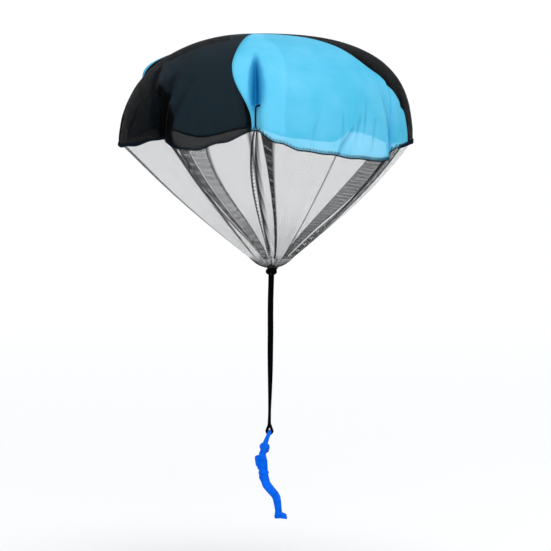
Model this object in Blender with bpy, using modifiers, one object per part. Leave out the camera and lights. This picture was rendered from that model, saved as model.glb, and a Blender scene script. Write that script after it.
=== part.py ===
"""Toy parachute: four-gore canopy, gathered net skirt, doubled tether and a moulded jumper.

Metres, +Z up. The origin is the crown, where the four seams meet and where the toy is held up.
The jumper faces +X, and the front of the canopy, with its deep pleat, faces -Y.
Angles around the canopy are degrees from -Y towards +X.
"""
import math

import bmesh
import bpy
from mathutils import Matrix, Vector
from mathutils.geometry import interpolate_bezier

# Canopy cloth
CANOPY_RADIUS = 0.1500
CANOPY_HEIGHT = 0.1075
CANOPY_LEAN = 0.0113
CROWN_HOLE_RADIUS = 0.0015
CLOTH_THICKNESS = 0.0005
PROFILE_POWER_SHARE = 2.4
PIECE_GAP = 0.0003
WELD_DISTANCE = 0.00001

# Seam angles at the crown and at the rim
SEAMS = {
    "front": (-16.0, -5.4),
    "right": (58.0, 73.5),
    "back": (168.0, 172.0),
    "left": (254.0, 263.0),
}
SEAM_SHIFT_SHARE = 0.45

# Pleats where the net draws the rim in: angle, depth, half width and the share of the fall above them
DEEP_PLEAT_DEPTH = 0.0125
PLEAT_DEPTH = 0.0080
SHALLOW_PLEAT_DEPTH = 0.0045
DEEP_PLEAT_HALF_WIDTH = 0.0060
PLEAT_HALF_WIDTH = 0.0070
PLEATS = {
    "front": (-4.0, DEEP_PLEAT_DEPTH, DEEP_PLEAT_HALF_WIDTH, 0.42),
    "front_right": (56.0, PLEAT_DEPTH, PLEAT_HALF_WIDTH, 0.60),
    "right": (98.0, SHALLOW_PLEAT_DEPTH, PLEAT_HALF_WIDTH, 0.62),
    "back_right": (142.0, PLEAT_DEPTH, PLEAT_HALF_WIDTH, 0.55),
    "back": (186.0, PLEAT_DEPTH, PLEAT_HALF_WIDTH, 0.50),
    "back_left": (228.0, PLEAT_DEPTH, PLEAT_HALF_WIDTH, 0.55),
    "left": (276.0, SHALLOW_PLEAT_DEPTH, PLEAT_HALF_WIDTH, 0.60),
    "front_left": (314.5, DEEP_PLEAT_DEPTH, DEEP_PLEAT_HALF_WIDTH, 0.45),
}

# How far the rim hangs below its plane, by angle, in shares of the scallop depth
SCALLOP_DEPTH = 0.0100
RIM_FALL_SHARES = (
    (-4.0, -1.80),
    (5.0, -0.60),
    (14.0, 0.20),
    (25.0, 0.60),
    (36.0, 1.10),
    (51.0, 1.50),
    (56.0, 1.00),
    (63.0, 0.40),
    (80.0, 0.30),
    (98.0, 0.10),
    (120.0, 0.50),
    (142.0, -0.50),
    (153.0, 0.70),
    (167.0, 0.40),
    (186.0, -0.70),
    (207.0, 0.20),
    (228.0, -1.00),
    (250.0, 0.00),
    (276.0, 0.45),
    (297.0, 0.10),
    (314.5, -0.75),
    (325.0, 0.10),
    (332.0, 0.20),
    (343.0, -0.60),
)

# Each gore runs from one seam to the next and holds two pleats; the counts are its columns between them
GORES = {
    "gore_blue_front": ("front", "right", ("front", "front_right"), (3, 9, 3), "blue"),
    "gore_black_right": ("right", "back", ("right", "back_right"), (3, 7, 4), "black"),
    "gore_blue_back": ("back", "left", ("back", "back_left"), (3, 7, 5), "blue"),
    "gore_black_left": ("left", "front", ("left", "front_left"), (3, 6, 6), "black"),
}
GORE_ROWS = 9
PLEAT_ROOM_SHARE = 0.04

# Seam allowances inside the canopy and the stitched edge below it
SEAM_ALLOWANCE_WIDTH = 0.0050
SEAM_ALLOWANCE_THICKNESS = 0.0009
RIM_EDGE_HEIGHT = 0.0030
RIM_EDGE_THICKNESS = 0.0012

# Net skirt: one sector from pleat to pleat, as a lattice of coarse strands
NET_STRAND_WIDTH = 0.0009
NET_THICKNESS = 0.0006
NET_ROWS = 5
NET_MAIN_COLUMNS = 3
NET_FOLD_WIDTH = 0.0180
NET_LAYER_STEP = 0.0017
NET_LAYER_STEP_LOW = 0.0012
NET_BULGE = 0.0060
NET_FOOT_RADIUS = 0.0235
NET_CORNER_CLEARANCE = 0.0026
NET_TOP_CLEARANCE = 0.0018

# Gathered neck of the net and the overhand knot under it
NECK_X = 0.0172
NECK_RADIUS = 0.0026
GATHER_TOP_Z = -0.2295
GATHER_SHOULDER_Z = -0.2340
GATHER_SHOULDER_RADIUS = 0.0165
GATHER_LOW_Z = -0.2355
GATHER_LOW_RADIUS = 0.0085
NECK_TOP_Z = -0.2359
GATHER_FLUTES = 12
GATHER_FLUTE_SHARE = 0.10
KNOT_Z = -0.2419
KNOT_RADIUS = 0.0053
KNOT_STRAND_DIAMETER = 0.0017
KNOT_POINTS = 48
KNOT_SPREAD_SHARE = 1.5

# Doubled tether: one cord from the knot down, through the hands and up again
CORD_DIAMETER = 0.0026
CORD_STEP = 0.0070
LOOP_STEP = 0.0011
CORD_DOWN_ROUTE = (
    (0.01572, 0.0000, -0.2464),
    (0.01550, 0.0000, -0.2560),
    (0.01510, 0.0000, -0.2700),
    (0.01488, 0.0001, -0.2880),
    (0.01493, 0.0002, -0.3050),
    (0.01480, 0.0005, -0.3250),
    (0.01497, 0.0010, -0.3450),
    (0.01530, 0.0014, -0.3650),
    (0.01545, 0.0015, -0.3850),
    (0.01540, 0.0015, -0.3985),
)
CORD_UP_ROUTE = (
    (0.01500, -0.0015, -0.3985),
    (0.01555, -0.0015, -0.3850),
    (0.01650, -0.0014, -0.3650),
    (0.01723, -0.0010, -0.3450),
    (0.01760, -0.0005, -0.3250),
    (0.01787, -0.0002, -0.3050),
    (0.01782, -0.0001, -0.2880),
    (0.01800, 0.0000, -0.2700),
    (0.01840, 0.0000, -0.2560),
    (0.01868, 0.0000, -0.2464),
)
LOOP_ROUTE = (
    (0.01540, 0.0015, -0.3989),
    (0.01541, 0.0015, -0.4002),
    (0.01600, 0.0013, -0.4018),
    (0.01700, 0.0006, -0.4045),
    (0.01805, 0.0000, -0.4076),
    (0.01722, 0.0000, -0.40952),
    (0.01530, 0.0000, -0.41032),
    (0.01338, 0.0000, -0.40952),
    (0.01255, 0.0000, -0.4076),
    (0.01360, -0.0006, -0.4045),
    (0.01460, -0.0013, -0.4018),
    (0.01499, -0.0015, -0.4002),
    (0.01500, -0.0015, -0.3989),
)

# Jumper, one moulding: the hand bar is its top and the soles are its bottom
HAND_BAR_X = 0.0153
HAND_BAR_Z = -0.4076
HAND_BAR_RADIUS = 0.0011
JUMPER_REACH = 0.0923
FIST_SPACING = 0.0078
SHOULDER_SPACING = 0.0150
ELBOW_SPACING = 0.0152
WRIST_SPACING = 0.0094
LEG_SPACING = 0.0080
TORSO_WIDTH = 0.0170
TORSO_DEPTH = 0.0102
HELMET_SIZE = (0.0106, 0.0100, 0.0092)
FACE_SIZE = (0.0088, 0.0080, 0.0108)
PACK_WIDTH = 0.0130
PACK_DEPTH = 0.0056
PACK_HEIGHT = 0.0156
PACK_ROUNDING = 0.0022
PACK_FOOT_THINNING_SHARE = 0.55
BOOT_LENGTH = 0.0132
BOOT_WIDTH = 0.0070
BOOT_HEIGHT = 0.0060
BOOT_ROUNDING = 0.0018
BOOT_TILT_DEGREES = 7.0
TOE_DROP_SHARE = 0.45
HEEL_NARROWING_SHARE = 0.14
STRAP_DIAMETER = 0.0015
SHOULDER_STRAP_SPACING = 0.0092

# Forward, down and radius, in shares of the jumper's reach from the hand bar
TORSO_SHARES = (
    (-0.066, 0.545, 0.052),
    (-0.068, 0.450, 0.049),
    (-0.086, 0.350, 0.052),
    (-0.084, 0.282, 0.047),
)
NECK_SHARES = ((-0.080, 0.300, 0.034), (-0.058, 0.215, 0.034))
LEG_SHARES = (
    (-0.066, 0.497, 0.030),
    (-0.060, 0.523, 0.046),
    (-0.034, 0.610, 0.046),
    (0.022, 0.680, 0.044),
    (0.078, 0.745, 0.044),
    (0.093, 0.830, 0.041),
    (0.101, 0.945, 0.042),
)
ARM_SHARES = (
    (-0.090, 0.322, 0.018),
    (-0.086, 0.300, 0.033),
    (-0.054, 0.170, 0.028),
    (-0.018, 0.075, 0.025),
    (0.000, 0.008, 0.025),
)
HELMET_PLACE_SHARES = (-0.054, 0.188)
FACE_PLACE_SHARES = (-0.046, 0.207)
PACK_PLACE_SHARES = (-0.128, 0.366)
BOOT_PLACE_SHARES = (0.124, 0.953)
SHOULDER_STRAP_SHARES = (
    (-0.122, 0.305),
    (-0.108, 0.274),
    (-0.080, 0.274),
    (-0.050, 0.290),
    (-0.043, 0.345),
    (-0.037, 0.400),
    (-0.029, 0.470),
)
CHEST_STRAP_SHARES = (-0.0375, 0.352)
BELT_SHARES = ((-0.067, 0.489, 0.052), (-0.067, 0.467, 0.052))
THIGH_STRAP_SHARES = (-0.043, 0.584, 0.047)
THIGH_STRAP_LEAN_SHARE = 0.25
THIGH_STRAP_SPACING = 0.0087
THIGH_STRAP_WIDTH = 0.0070
THIGH_STRAP_POINTS = 12

# Finishes: colour, roughness
FINISHES = {
    "blue": ((0.10, 0.58, 0.90, 1.0), 0.60),
    "black": ((0.012, 0.016, 0.020, 1.0), 0.65),
    "net": ((0.015, 0.015, 0.017, 1.0), 0.80),
    "thread": ((0.010, 0.030, 0.055, 1.0), 0.75),
    "cord": ((0.008, 0.008, 0.009, 1.0), 0.85),
    "jumper": ((0.003, 0.18, 0.90, 1.0), 0.38),
}


def new_collection(name):
    """A collection linked to the scene."""
    collection = bpy.data.collections.new(name)
    bpy.context.scene.collection.children.link(collection)
    return collection


def finish_material(name):
    """One Principled material for each finish."""
    if name in bpy.data.materials:
        return bpy.data.materials[name]
    colour, roughness = FINISHES[name]
    material = bpy.data.materials.new(name)
    material.use_nodes = True
    shader = material.node_tree.nodes["Principled BSDF"]
    shader.inputs["Base Color"].default_value = colour
    shader.inputs["Roughness"].default_value = roughness
    shader.inputs["Metallic"].default_value = 0.0
    material.diffuse_color = colour
    return material


def add_mesh_object(name, bm, collection, finish):
    """Turns a bmesh into an object of the given collection."""
    mesh = bpy.data.meshes.new(name)
    bm.to_mesh(mesh)
    bm.free()
    mesh.shade_smooth()
    mesh.materials.append(finish_material(finish))
    part = bpy.data.objects.new(name, mesh)
    collection.objects.link(part)
    return part


def smooth_step(value):
    """0 to 1 with level ends."""
    value = min(max(value, 0.0), 1.0)
    return value * value * (3.0 - 2.0 * value)


def blend(start, end, share):
    """A value or vector between start and end."""
    return start * (1.0 - share) + end * share


def clustered(share):
    """Moves even steps towards both ends, where the pleats are."""
    return 0.5 - 0.5 * math.cos(math.pi * share)


def around(degrees):
    """An angle brought into -180 to 180 degrees."""
    return (degrees + 180.0) % 360.0 - 180.0


def rim_fall(angle):
    """How far the rim hangs below its plane at this angle."""
    place = (angle - RIM_FALL_SHARES[0][0]) % 360.0
    knots = [((at - RIM_FALL_SHARES[0][0]) % 360.0, share) for at, share in RIM_FALL_SHARES]
    knots.append((360.0, RIM_FALL_SHARES[0][1]))
    for (low, low_share), (high, high_share) in zip(knots, knots[1:]):
        if place <= high:
            share = blend(low_share, high_share, smooth_step((place - low) / (high - low)))
            return share * SCALLOP_DEPTH
    return 0.0


def pleat_pull(angle, fall, radius):
    """How far the pleats draw the cloth in."""
    pull = 0.0
    for centre, depth, half_width, start_share in PLEATS.values():
        across = math.radians(around(angle - centre)) * radius / half_width
        along = smooth_step((fall - start_share) / (1.0 - start_share))
        pull += depth * along * math.exp(-across * across)
    return pull


def canopy_point(angle, fall):
    """A point of the outer canopy face. fall runs from 0 at the crown to 1 at the rim."""
    bend = 0.5 * math.pi * fall
    out_share = math.sin(bend) ** (2.0 / PROFILE_POWER_SHARE)
    down_share = 1.0 - max(math.cos(bend), 0.0) ** (2.0 / PROFILE_POWER_SHARE)
    full_radius = CANOPY_RADIUS * out_share
    radius = full_radius - pleat_pull(angle, fall, full_radius)
    height = CANOPY_HEIGHT + rim_fall(angle) * smooth_step(fall)
    turn = math.radians(angle)
    return Vector((
        CANOPY_LEAN * out_share + radius * math.sin(turn),
        -radius * math.cos(turn),
        -height * down_share,
    ))


def crown_fall():
    """The fall at which the gores start, beside the small hole at the crown."""
    sine = (CROWN_HOLE_RADIUS / CANOPY_RADIUS) ** (PROFILE_POWER_SHARE / 2.0)
    return math.asin(sine) / (0.5 * math.pi)


def canopy_inward(angle, fall):
    """The unit direction from the cloth's outer face to its inner face."""
    turn_step = 0.5
    fall_step = 0.004
    low = min(fall + fall_step, 1.0)
    high = low - 2.0 * fall_step
    along = canopy_point(angle, low) - canopy_point(angle, high)
    across = canopy_point(angle + turn_step, fall) - canopy_point(angle - turn_step, fall)
    return across.cross(along).normalized()


def seam_angle(name, fall):
    """The angle of a seam, which drifts towards its rim angle as it falls."""
    crown_angle, rim_angle = SEAMS[name]
    return blend(crown_angle, rim_angle, smooth_step((fall - SEAM_SHIFT_SHARE) / (1.0 - SEAM_SHIFT_SHARE)))


def row_falls(rows):
    """The fall of each row of a gore or a seam."""
    start = crown_fall()
    return [blend(start, 1.0, row / rows) for row in range(rows + 1)]


def gore_stops(gore, fall):
    """The angles of one row of a gore: its two seams, its pleats and the columns between."""
    start_seam, end_seam, pleat_names, counts, _finish = GORES[gore]
    start = seam_angle(start_seam, fall)
    radius = math.hypot(canopy_point(start, fall).x - CANOPY_LEAN * fall, canopy_point(start, fall).y)
    edge = math.degrees(0.5 * PIECE_GAP / max(radius, CROWN_HOLE_RADIUS))
    span = (seam_angle(end_seam, fall) - start) % 360.0
    limit = start + span * (1.0 - PLEAT_ROOM_SHARE) - edge
    anchors = [start + edge]
    for name in pleat_names:
        anchors.append(min(start + (PLEATS[name][0] - start) % 360.0, limit))
    anchors.append(start + span - edge)
    stops = [anchors[0]]
    for low, high, count in zip(anchors, anchors[1:], counts):
        stops += [blend(low, high, clustered((step + 1) / count)) for step in range(count)]
    return stops


def placed_grid(rows, columns, place):
    """A flat grid whose points are moved to place(row, column)."""
    bm = bmesh.new()
    bmesh.ops.create_grid(bm, x_segments=columns, y_segments=rows, size=0.5)
    for vert in bm.verts:
        column = round((vert.co.x + 0.5) * columns)
        row = round((vert.co.y + 0.5) * rows)
        vert.co = place(row, column)
    bm.normal_update()
    return bm


def solidify(part, thickness, offset, even=True):
    """Gives a sheet its thickness."""
    modifier = part.modifiers.new("thickness", "SOLIDIFY")
    modifier.thickness = thickness
    modifier.offset = offset
    modifier.use_even_offset = even
    modifier.use_quality_normals = True


def build_gore(name, collection):
    """One cloth panel of the canopy, from the crown to the rim."""
    falls = row_falls(GORE_ROWS)
    stops = [gore_stops(name, fall) for fall in falls]
    columns = len(stops[0]) - 1
    bm = placed_grid(GORE_ROWS, columns, lambda row, column: canopy_point(stops[row][column], falls[row]))
    part = add_mesh_object(name, bm, collection, GORES[name][4])
    solidify(part, CLOTH_THICKNESS, 1.0)


def build_seam_allowance(seam, collection):
    """The two cloth edges and their stitching, which stand inside the canopy along a seam."""
    falls = row_falls(GORE_ROWS)[1:-1]
    depths = (CLOTH_THICKNESS + PIECE_GAP, CLOTH_THICKNESS + PIECE_GAP + SEAM_ALLOWANCE_WIDTH)

    def place(row, column):
        angle = seam_angle(seam, falls[row])
        return canopy_point(angle, falls[row]) + canopy_inward(angle, falls[row]) * depths[column]

    part = add_mesh_object("seam_" + seam, placed_grid(len(falls) - 1, 1, place), collection, "thread")
    solidify(part, SEAM_ALLOWANCE_THICKNESS, 0.0)


def build_rim_edge(gore, collection):
    """The stitched edge that joins one gore to the net."""
    stops = gore_stops(gore, 1.0)
    drops = (PIECE_GAP, PIECE_GAP + RIM_EDGE_HEIGHT)

    def place(row, column):
        angle = stops[column]
        middle = canopy_point(angle, 1.0) + canopy_inward(angle, 1.0) * 0.5 * CLOTH_THICKNESS
        return middle - Vector((0.0, 0.0, drops[row]))

    name = gore.replace("gore", "rim_edge")
    finish = "thread" if GORES[gore][4] == "blue" else "black"
    part = add_mesh_object(name, placed_grid(1, len(stops) - 1, place), collection, finish)
    solidify(part, RIM_EDGE_THICKNESS, 0.0)


def net_top(angle):
    """Where the net is sewn in, behind the middle of the rim edge."""
    inset = 0.5 * (CLOTH_THICKNESS + RIM_EDGE_THICKNESS + NET_THICKNESS) + NET_TOP_CLEARANCE
    pull = pleat_pull(angle, 1.0, CANOPY_RADIUS)
    corner = NET_CORNER_CLEARANCE * min(pull / SHALLOW_PLEAT_DEPTH, 1.0)
    turn = math.radians(angle)
    outward = Vector((math.sin(turn), -math.cos(turn), 0.0))
    point = canopy_point(angle, 1.0) - outward * (inset + corner)
    point.z -= PIECE_GAP + 0.5 * RIM_EDGE_HEIGHT
    return point


def net_point(angle, depth, share):
    """A point of the net. share runs from 0 at the rim to 1 at the gathered neck."""
    turn = math.radians(angle)
    outward = Vector((math.sin(turn), -math.cos(turn), 0.0))
    foot_z = GATHER_TOP_Z + PIECE_GAP + 0.5 * NET_THICKNESS
    foot = Vector((NECK_X, 0.0, foot_z)) + outward * NET_FOOT_RADIUS * (1.0 - GATHER_FLUTE_SHARE)
    swell = math.sin(math.pi * share) * NET_BULGE - depth
    return blend(net_top(angle), foot, share) + (outward - Vector((0.0, 0.0, 1.0))) * swell * math.sqrt(0.5)


def net_row(start, end, share):
    """One row of the net: forward over the fold, back under it, and forward to the next pleat."""
    margin = 0.5 * PIECE_GAP + NET_THICKNESS
    clear = math.degrees(blend(margin / CANOPY_RADIUS, margin / NET_FOOT_RADIUS, share))
    first = start + clear
    last = end - clear
    over = net_point(first, 0.0, share)
    turn = net_point(first + math.degrees(NET_FOLD_WIDTH / CANOPY_RADIUS), 0.0, share)
    slant = net_point(first, 0.0, 1.0) - net_point(first, 0.0, 0.0)
    layer = blend(NET_LAYER_STEP, NET_LAYER_STEP_LOW, share)
    inward = (turn - over).cross(slant).normalized() * layer
    row = [over, turn, turn + inward, over + inward, over + inward * 2.0]
    for step in range(NET_MAIN_COLUMNS):
        depth = layer * 2.0 * (1.0 - step / (NET_MAIN_COLUMNS - 1))
        row.append(net_point(blend(first, last, (step + 1) / NET_MAIN_COLUMNS), depth, share))
    return row


def build_net_sector(start_pleat, end_pleat, collection):
    """The net between two pleats, folded over the first one. The two turns of the fold stay closed."""
    start = PLEATS[start_pleat][0]
    end = start + (PLEATS[end_pleat][0] - start) % 360.0
    rows = [net_row(start, end, row / NET_ROWS) for row in range(NET_ROWS + 1)]
    columns = len(rows[0]) - 1
    bm = placed_grid(NET_ROWS, columns, lambda row, column: rows[row][column])
    turn_columns = (1, 3)
    bm.faces.ensure_lookup_table()
    cells = [face for index, face in enumerate(bm.faces) if index % columns not in turn_columns]
    bmesh.ops.inset_individual(bm, faces=cells, thickness=0.5 * NET_STRAND_WIDTH, use_even_offset=True)
    bmesh.ops.delete(bm, geom=cells, context="FACES_ONLY")
    part = add_mesh_object("net_" + start_pleat, bm, collection, "net")
    solidify(part, NET_THICKNESS, 0.0, even=False)


def build_net_gather(collection):
    """The net drawn together into a fluted bundle and its neck."""
    rings = (
        (KNOT_Z + KNOT_RADIUS + PIECE_GAP, NECK_RADIUS, 0.0),
        (NECK_TOP_Z, NECK_RADIUS, 0.0),
        (GATHER_LOW_Z, GATHER_LOW_RADIUS, GATHER_FLUTE_SHARE),
        (GATHER_SHOULDER_Z, GATHER_SHOULDER_RADIUS, GATHER_FLUTE_SHARE),
        (GATHER_TOP_Z, NET_FOOT_RADIUS, GATHER_FLUTE_SHARE),
    )
    bm = bmesh.new()
    loops = []
    for height, radius, flute_share in rings:
        made = bmesh.ops.create_circle(bm, segments=2 * GATHER_FLUTES, radius=radius)
        for vert in made["verts"]:
            turn = math.atan2(vert.co.y, vert.co.x)
            flute = 0.5 * flute_share * (1.0 - math.cos(GATHER_FLUTES * turn))
            reach = radius * (1.0 - flute)
            vert.co = Vector((NECK_X + reach * math.cos(turn), reach * math.sin(turn), height))
        loops.append(list({edge for vert in made["verts"] for edge in vert.link_edges}))
    for low, high in zip(loops, loops[1:]):
        bmesh.ops.bridge_loops(bm, edges=low + high)
    for loop in (loops[0], loops[-1]):
        bmesh.ops.contextual_create(bm, geom=loop)
    bmesh.ops.recalc_face_normals(bm, faces=bm.faces)
    add_mesh_object("net_gather", bm, collection, "net")


def sampled_route(points, step):
    """Points a step apart along a smooth curve through the route's own points."""
    path = [Vector(point) for point in points]
    ends = [path[0] * 2.0 - path[1]] + path + [path[-1] * 2.0 - path[-2]]
    curve = []
    for index in range(1, len(ends) - 2):
        before, start, end, after = ends[index - 1 : index + 3]
        pieces = max(1, round((end - start).length / step))
        handle_out = start + (end - before) / 6.0
        handle_in = end - (after - start) / 6.0
        curve += interpolate_bezier(start, handle_out, handle_in, end, pieces + 1)[:-1]
    return curve + [path[-1]]


def build_tube(name, points, diameter, sides_resolution, collection, finish, radii=None, kind="POLY"):
    """A round tube along points, with filled caps, as a curve object."""
    curve = bpy.data.curves.new(name, "CURVE")
    curve.dimensions = "3D"
    curve.bevel_depth = 0.5 * diameter
    curve.bevel_resolution = sides_resolution
    curve.use_fill_caps = True
    curve.resolution_u = 3
    spline = curve.splines.new(kind)
    if kind == "BEZIER":
        spline.bezier_points.add(len(points) - 1)
        places = spline.bezier_points
    else:
        spline.points.add(len(points) - 1)
        places = spline.points
    for index, (place, point) in enumerate(zip(places, points)):
        if kind == "BEZIER":
            place.co = point
            place.handle_left_type = "AUTO"
            place.handle_right_type = "AUTO"
        else:
            place.co = (*point, 1.0)
        place.radius = radii[index] if radii else 1.0
    curve.materials.append(finish_material(finish))
    tube = bpy.data.objects.new(name, curve)
    collection.objects.link(tube)
    return tube


def join_shapes(part, shapes, cutters):
    """Fuses helper shapes into a part with Boolean unions."""
    for shape in shapes:
        for collection in shape.users_collection:
            collection.objects.unlink(shape)
        cutters.objects.link(shape)
        shape.hide_render = True
        shape.display_type = "WIRE"
        union = part.modifiers.new("join_" + shape.name, "BOOLEAN")
        union.operation = "UNION"
        union.solver = "EXACT"
        union.object = shape


def build_knot(collection):
    """The overhand knot: a closed trefoil of cord with one lobe up, under the neck."""
    unit = (KNOT_RADIUS - 0.5 * KNOT_STRAND_DIAMETER) / 3.0
    points = []
    for index in range(KNOT_POINTS):
        turn = 2.0 * math.pi * index / KNOT_POINTS
        side = math.sin(turn) + 2.0 * math.sin(2.0 * turn)
        up = 2.0 * math.cos(2.0 * turn) - math.cos(turn)
        depth = KNOT_SPREAD_SHARE * math.sin(3.0 * turn)
        points.append(Vector((NECK_X + unit * side, unit * depth, KNOT_Z + unit * up)))
    knot = build_tube("cord_knot", points, KNOT_STRAND_DIAMETER, 1, collection, "cord")
    knot.data.splines[0].use_cyclic_u = True
    far = KNOT_POINTS // 8
    gaps = [
        (points[index] - points[other]).length - KNOT_STRAND_DIAMETER
        for index in range(KNOT_POINTS)
        for other in range(index + far, KNOT_POINTS)
        if index + KNOT_POINTS - other >= far
    ]
    print(f"least gap of the knot to itself: {min(gaps) * 1000.0:.2f} mm")


def build_tether(collection):
    """The two strands of the doubled cord and its loop through the hands."""
    for name, route, step in (
        ("tether_strand_down", CORD_DOWN_ROUTE, CORD_STEP),
        ("tether_strand_up", CORD_UP_ROUTE, CORD_STEP),
        ("hand_loop", LOOP_ROUTE, LOOP_STEP),
    ):
        build_tube(name, sampled_route(route, step), CORD_DIAMETER, 2, collection, "cord")


def jumper_place(forward_share, down_share, side=0.0):
    """A point of the jumper, measured from the hand bar."""
    top = HAND_BAR_Z + HAND_BAR_RADIUS
    return Vector((HAND_BAR_X + forward_share * JUMPER_REACH, side, top - down_share * JUMPER_REACH))


def mesh_from_curve(tube):
    """Replaces a curve object by a welded mesh object with the same name and place."""
    name = tube.name
    curve = tube.data
    bpy.context.view_layer.update()
    graph = bpy.context.evaluated_depsgraph_get()
    mesh = bpy.data.meshes.new_from_object(tube.evaluated_get(graph))
    bm = bmesh.new()
    bm.from_mesh(mesh)
    bmesh.ops.remove_doubles(bm, verts=bm.verts, dist=WELD_DISTANCE)
    bm.to_mesh(mesh)
    bm.free()
    solid = bpy.data.objects.new(name + "_solid", mesh)
    solid.matrix_world = tube.matrix_world
    tube.users_collection[0].objects.link(solid)
    bpy.data.objects.remove(tube)
    bpy.data.curves.remove(curve)
    return solid


def build_limb(name, shares, sides, collection):
    """A tapered limb of the jumper along a smooth path. sides are its points' distances from the middle."""
    points = [jumper_place(forward, down, side) for (forward, down, _radius), side in zip(shares, sides)]
    radii = [radius for _forward, _down, radius in shares]
    tube = build_tube(name, points, 2.0 * JUMPER_REACH, 4, collection, "jumper", radii, "BEZIER")
    return mesh_from_curve(tube)


def rounded_box(name, centre, size, rounding, collection):
    """A box with rounded edges."""
    bm = bmesh.new()
    bmesh.ops.create_cube(bm, size=1.0)
    bmesh.ops.scale(bm, vec=size, verts=bm.verts)
    bmesh.ops.translate(bm, vec=centre, verts=bm.verts)
    bmesh.ops.bevel(
        bm, geom=bm.edges[:], offset=rounding, segments=3, profile=0.5, affect="EDGES", material=-1
    )
    return add_mesh_object(name, bm, collection, "jumper")


def rounded_head(name, centre, size, collection):
    """An egg shape."""
    bm = bmesh.new()
    bmesh.ops.create_uvsphere(bm, u_segments=20, v_segments=12, radius=0.5)
    bmesh.ops.scale(bm, vec=size, verts=bm.verts)
    bmesh.ops.translate(bm, vec=centre, verts=bm.verts)
    return add_mesh_object(name, bm, collection, "jumper")


def widened(limb):
    """Stretches a limb on the middle plane to the torso's oval."""
    for vert in limb.data.vertices:
        vert.co.y *= TORSO_WIDTH / TORSO_DEPTH
    return limb


def build_boot(name, side, collection):
    """A boot with a low toe and a narrow heel, tilted toe down."""
    boot = rounded_box(name, Vector(), (BOOT_LENGTH, BOOT_WIDTH, BOOT_HEIGHT), BOOT_ROUNDING, collection)
    for vert in boot.data.vertices:
        toe = smooth_step(vert.co.x / BOOT_LENGTH + 0.5)
        vert.co.y *= 1.0 - HEEL_NARROWING_SHARE * (1.0 - toe)
        if vert.co.z > 0.0:
            vert.co.z *= 1.0 - TOE_DROP_SHARE * toe
    tilt = Matrix.Rotation(math.radians(BOOT_TILT_DEGREES), 4, "Y")
    boot.data.transform(Matrix.Translation(jumper_place(*BOOT_PLACE_SHARES, side)) @ tilt)
    return boot


def build_pack(collection):
    """The folded parachute's pack, thinner towards its foot."""
    pack = rounded_box("pack", Vector(), (PACK_DEPTH, PACK_WIDTH, PACK_HEIGHT), PACK_ROUNDING, collection)
    for vert in pack.data.vertices:
        if vert.co.x < 0.0:
            vert.co.x *= 1.0 - PACK_FOOT_THINNING_SHARE * smooth_step(0.5 - vert.co.z / PACK_HEIGHT)
    pack.data.transform(Matrix.Translation(jumper_place(*PACK_PLACE_SHARES)))
    return pack


def build_harness(collection):
    """Shoulder, chest and thigh straps and the belt."""
    straps = [widened(build_limb("belt", BELT_SHARES, [0.0] * len(BELT_SHARES), collection))]
    chest = [jumper_place(*CHEST_STRAP_SHARES, side * 0.5 * SHOULDER_STRAP_SPACING) for side in (-1.0, 1.0)]
    straps.append(mesh_from_curve(build_tube("chest_strap", chest, STRAP_DIAMETER, 2, collection, "jumper")))
    forward, down, radius = THIGH_STRAP_SHARES
    for label, side in (("near", -1.0), ("far", 1.0)):
        strap_side = side * 0.5 * SHOULDER_STRAP_SPACING
        shoulder = [jumper_place(*spot, strap_side) for spot in SHOULDER_STRAP_SHARES]
        tube = build_tube("shoulder_strap_" + label, shoulder, STRAP_DIAMETER, 2, collection, "jumper")
        straps.append(mesh_from_curve(tube))
        thigh = []
        for index in range(THIGH_STRAP_POINTS):
            turn = 2.0 * math.pi * index / THIGH_STRAP_POINTS
            out = radius * math.cos(turn)
            leg_side = 0.5 * (side * THIGH_STRAP_SPACING + THIGH_STRAP_WIDTH * math.sin(turn))
            thigh.append(jumper_place(forward + out, down + out * THIGH_STRAP_LEAN_SHARE, leg_side))
        tube = build_tube("thigh_strap_" + label, thigh, STRAP_DIAMETER, 2, collection, "jumper")
        tube.data.splines[0].use_cyclic_u = True
        straps.append(mesh_from_curve(tube))
    return straps


def build_jumper(collection, cutters):
    """The moulded jumper: helmet, harness and pack, arms raised to a bar, bent knees and boots."""
    torso = widened(build_limb("torso", TORSO_SHARES, [0.0] * len(TORSO_SHARES), collection))
    torso.name = "jumper"
    torso.data.name = "jumper"
    torso.data.shade_smooth()
    shapes = [build_limb("neck", NECK_SHARES, [0.0] * len(NECK_SHARES), collection)]
    shapes.append(rounded_head("face", jumper_place(*FACE_PLACE_SHARES), FACE_SIZE, collection))
    shapes.append(rounded_head("helmet", jumper_place(*HELMET_PLACE_SHARES), HELMET_SIZE, collection))
    shapes.append(build_pack(collection))
    spacings = (SHOULDER_SPACING, SHOULDER_SPACING, ELBOW_SPACING, WRIST_SPACING, FIST_SPACING)
    for label, side in (("near", -1.0), ("far", 1.0)):
        arm_sides = [side * 0.5 * spacing for spacing in spacings]
        shapes.append(build_limb("arm_" + label, ARM_SHARES, arm_sides, collection))
        leg_sides = [side * 0.5 * LEG_SPACING] * len(LEG_SHARES)
        shapes.append(build_limb("leg_" + label, LEG_SHARES, leg_sides, collection))
        shapes.append(build_boot("boot_" + label, side * 0.5 * LEG_SPACING, collection))
    bar_ends = [Vector((HAND_BAR_X, side * 0.5 * FIST_SPACING, HAND_BAR_Z)) for side in (-1.0, 1.0)]
    bar = build_tube("hand_bar", bar_ends, 2.0 * HAND_BAR_RADIUS, 4, collection, "jumper")
    shapes.append(mesh_from_curve(bar))
    join_shapes(torso, shapes + build_harness(collection), cutters)


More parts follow.
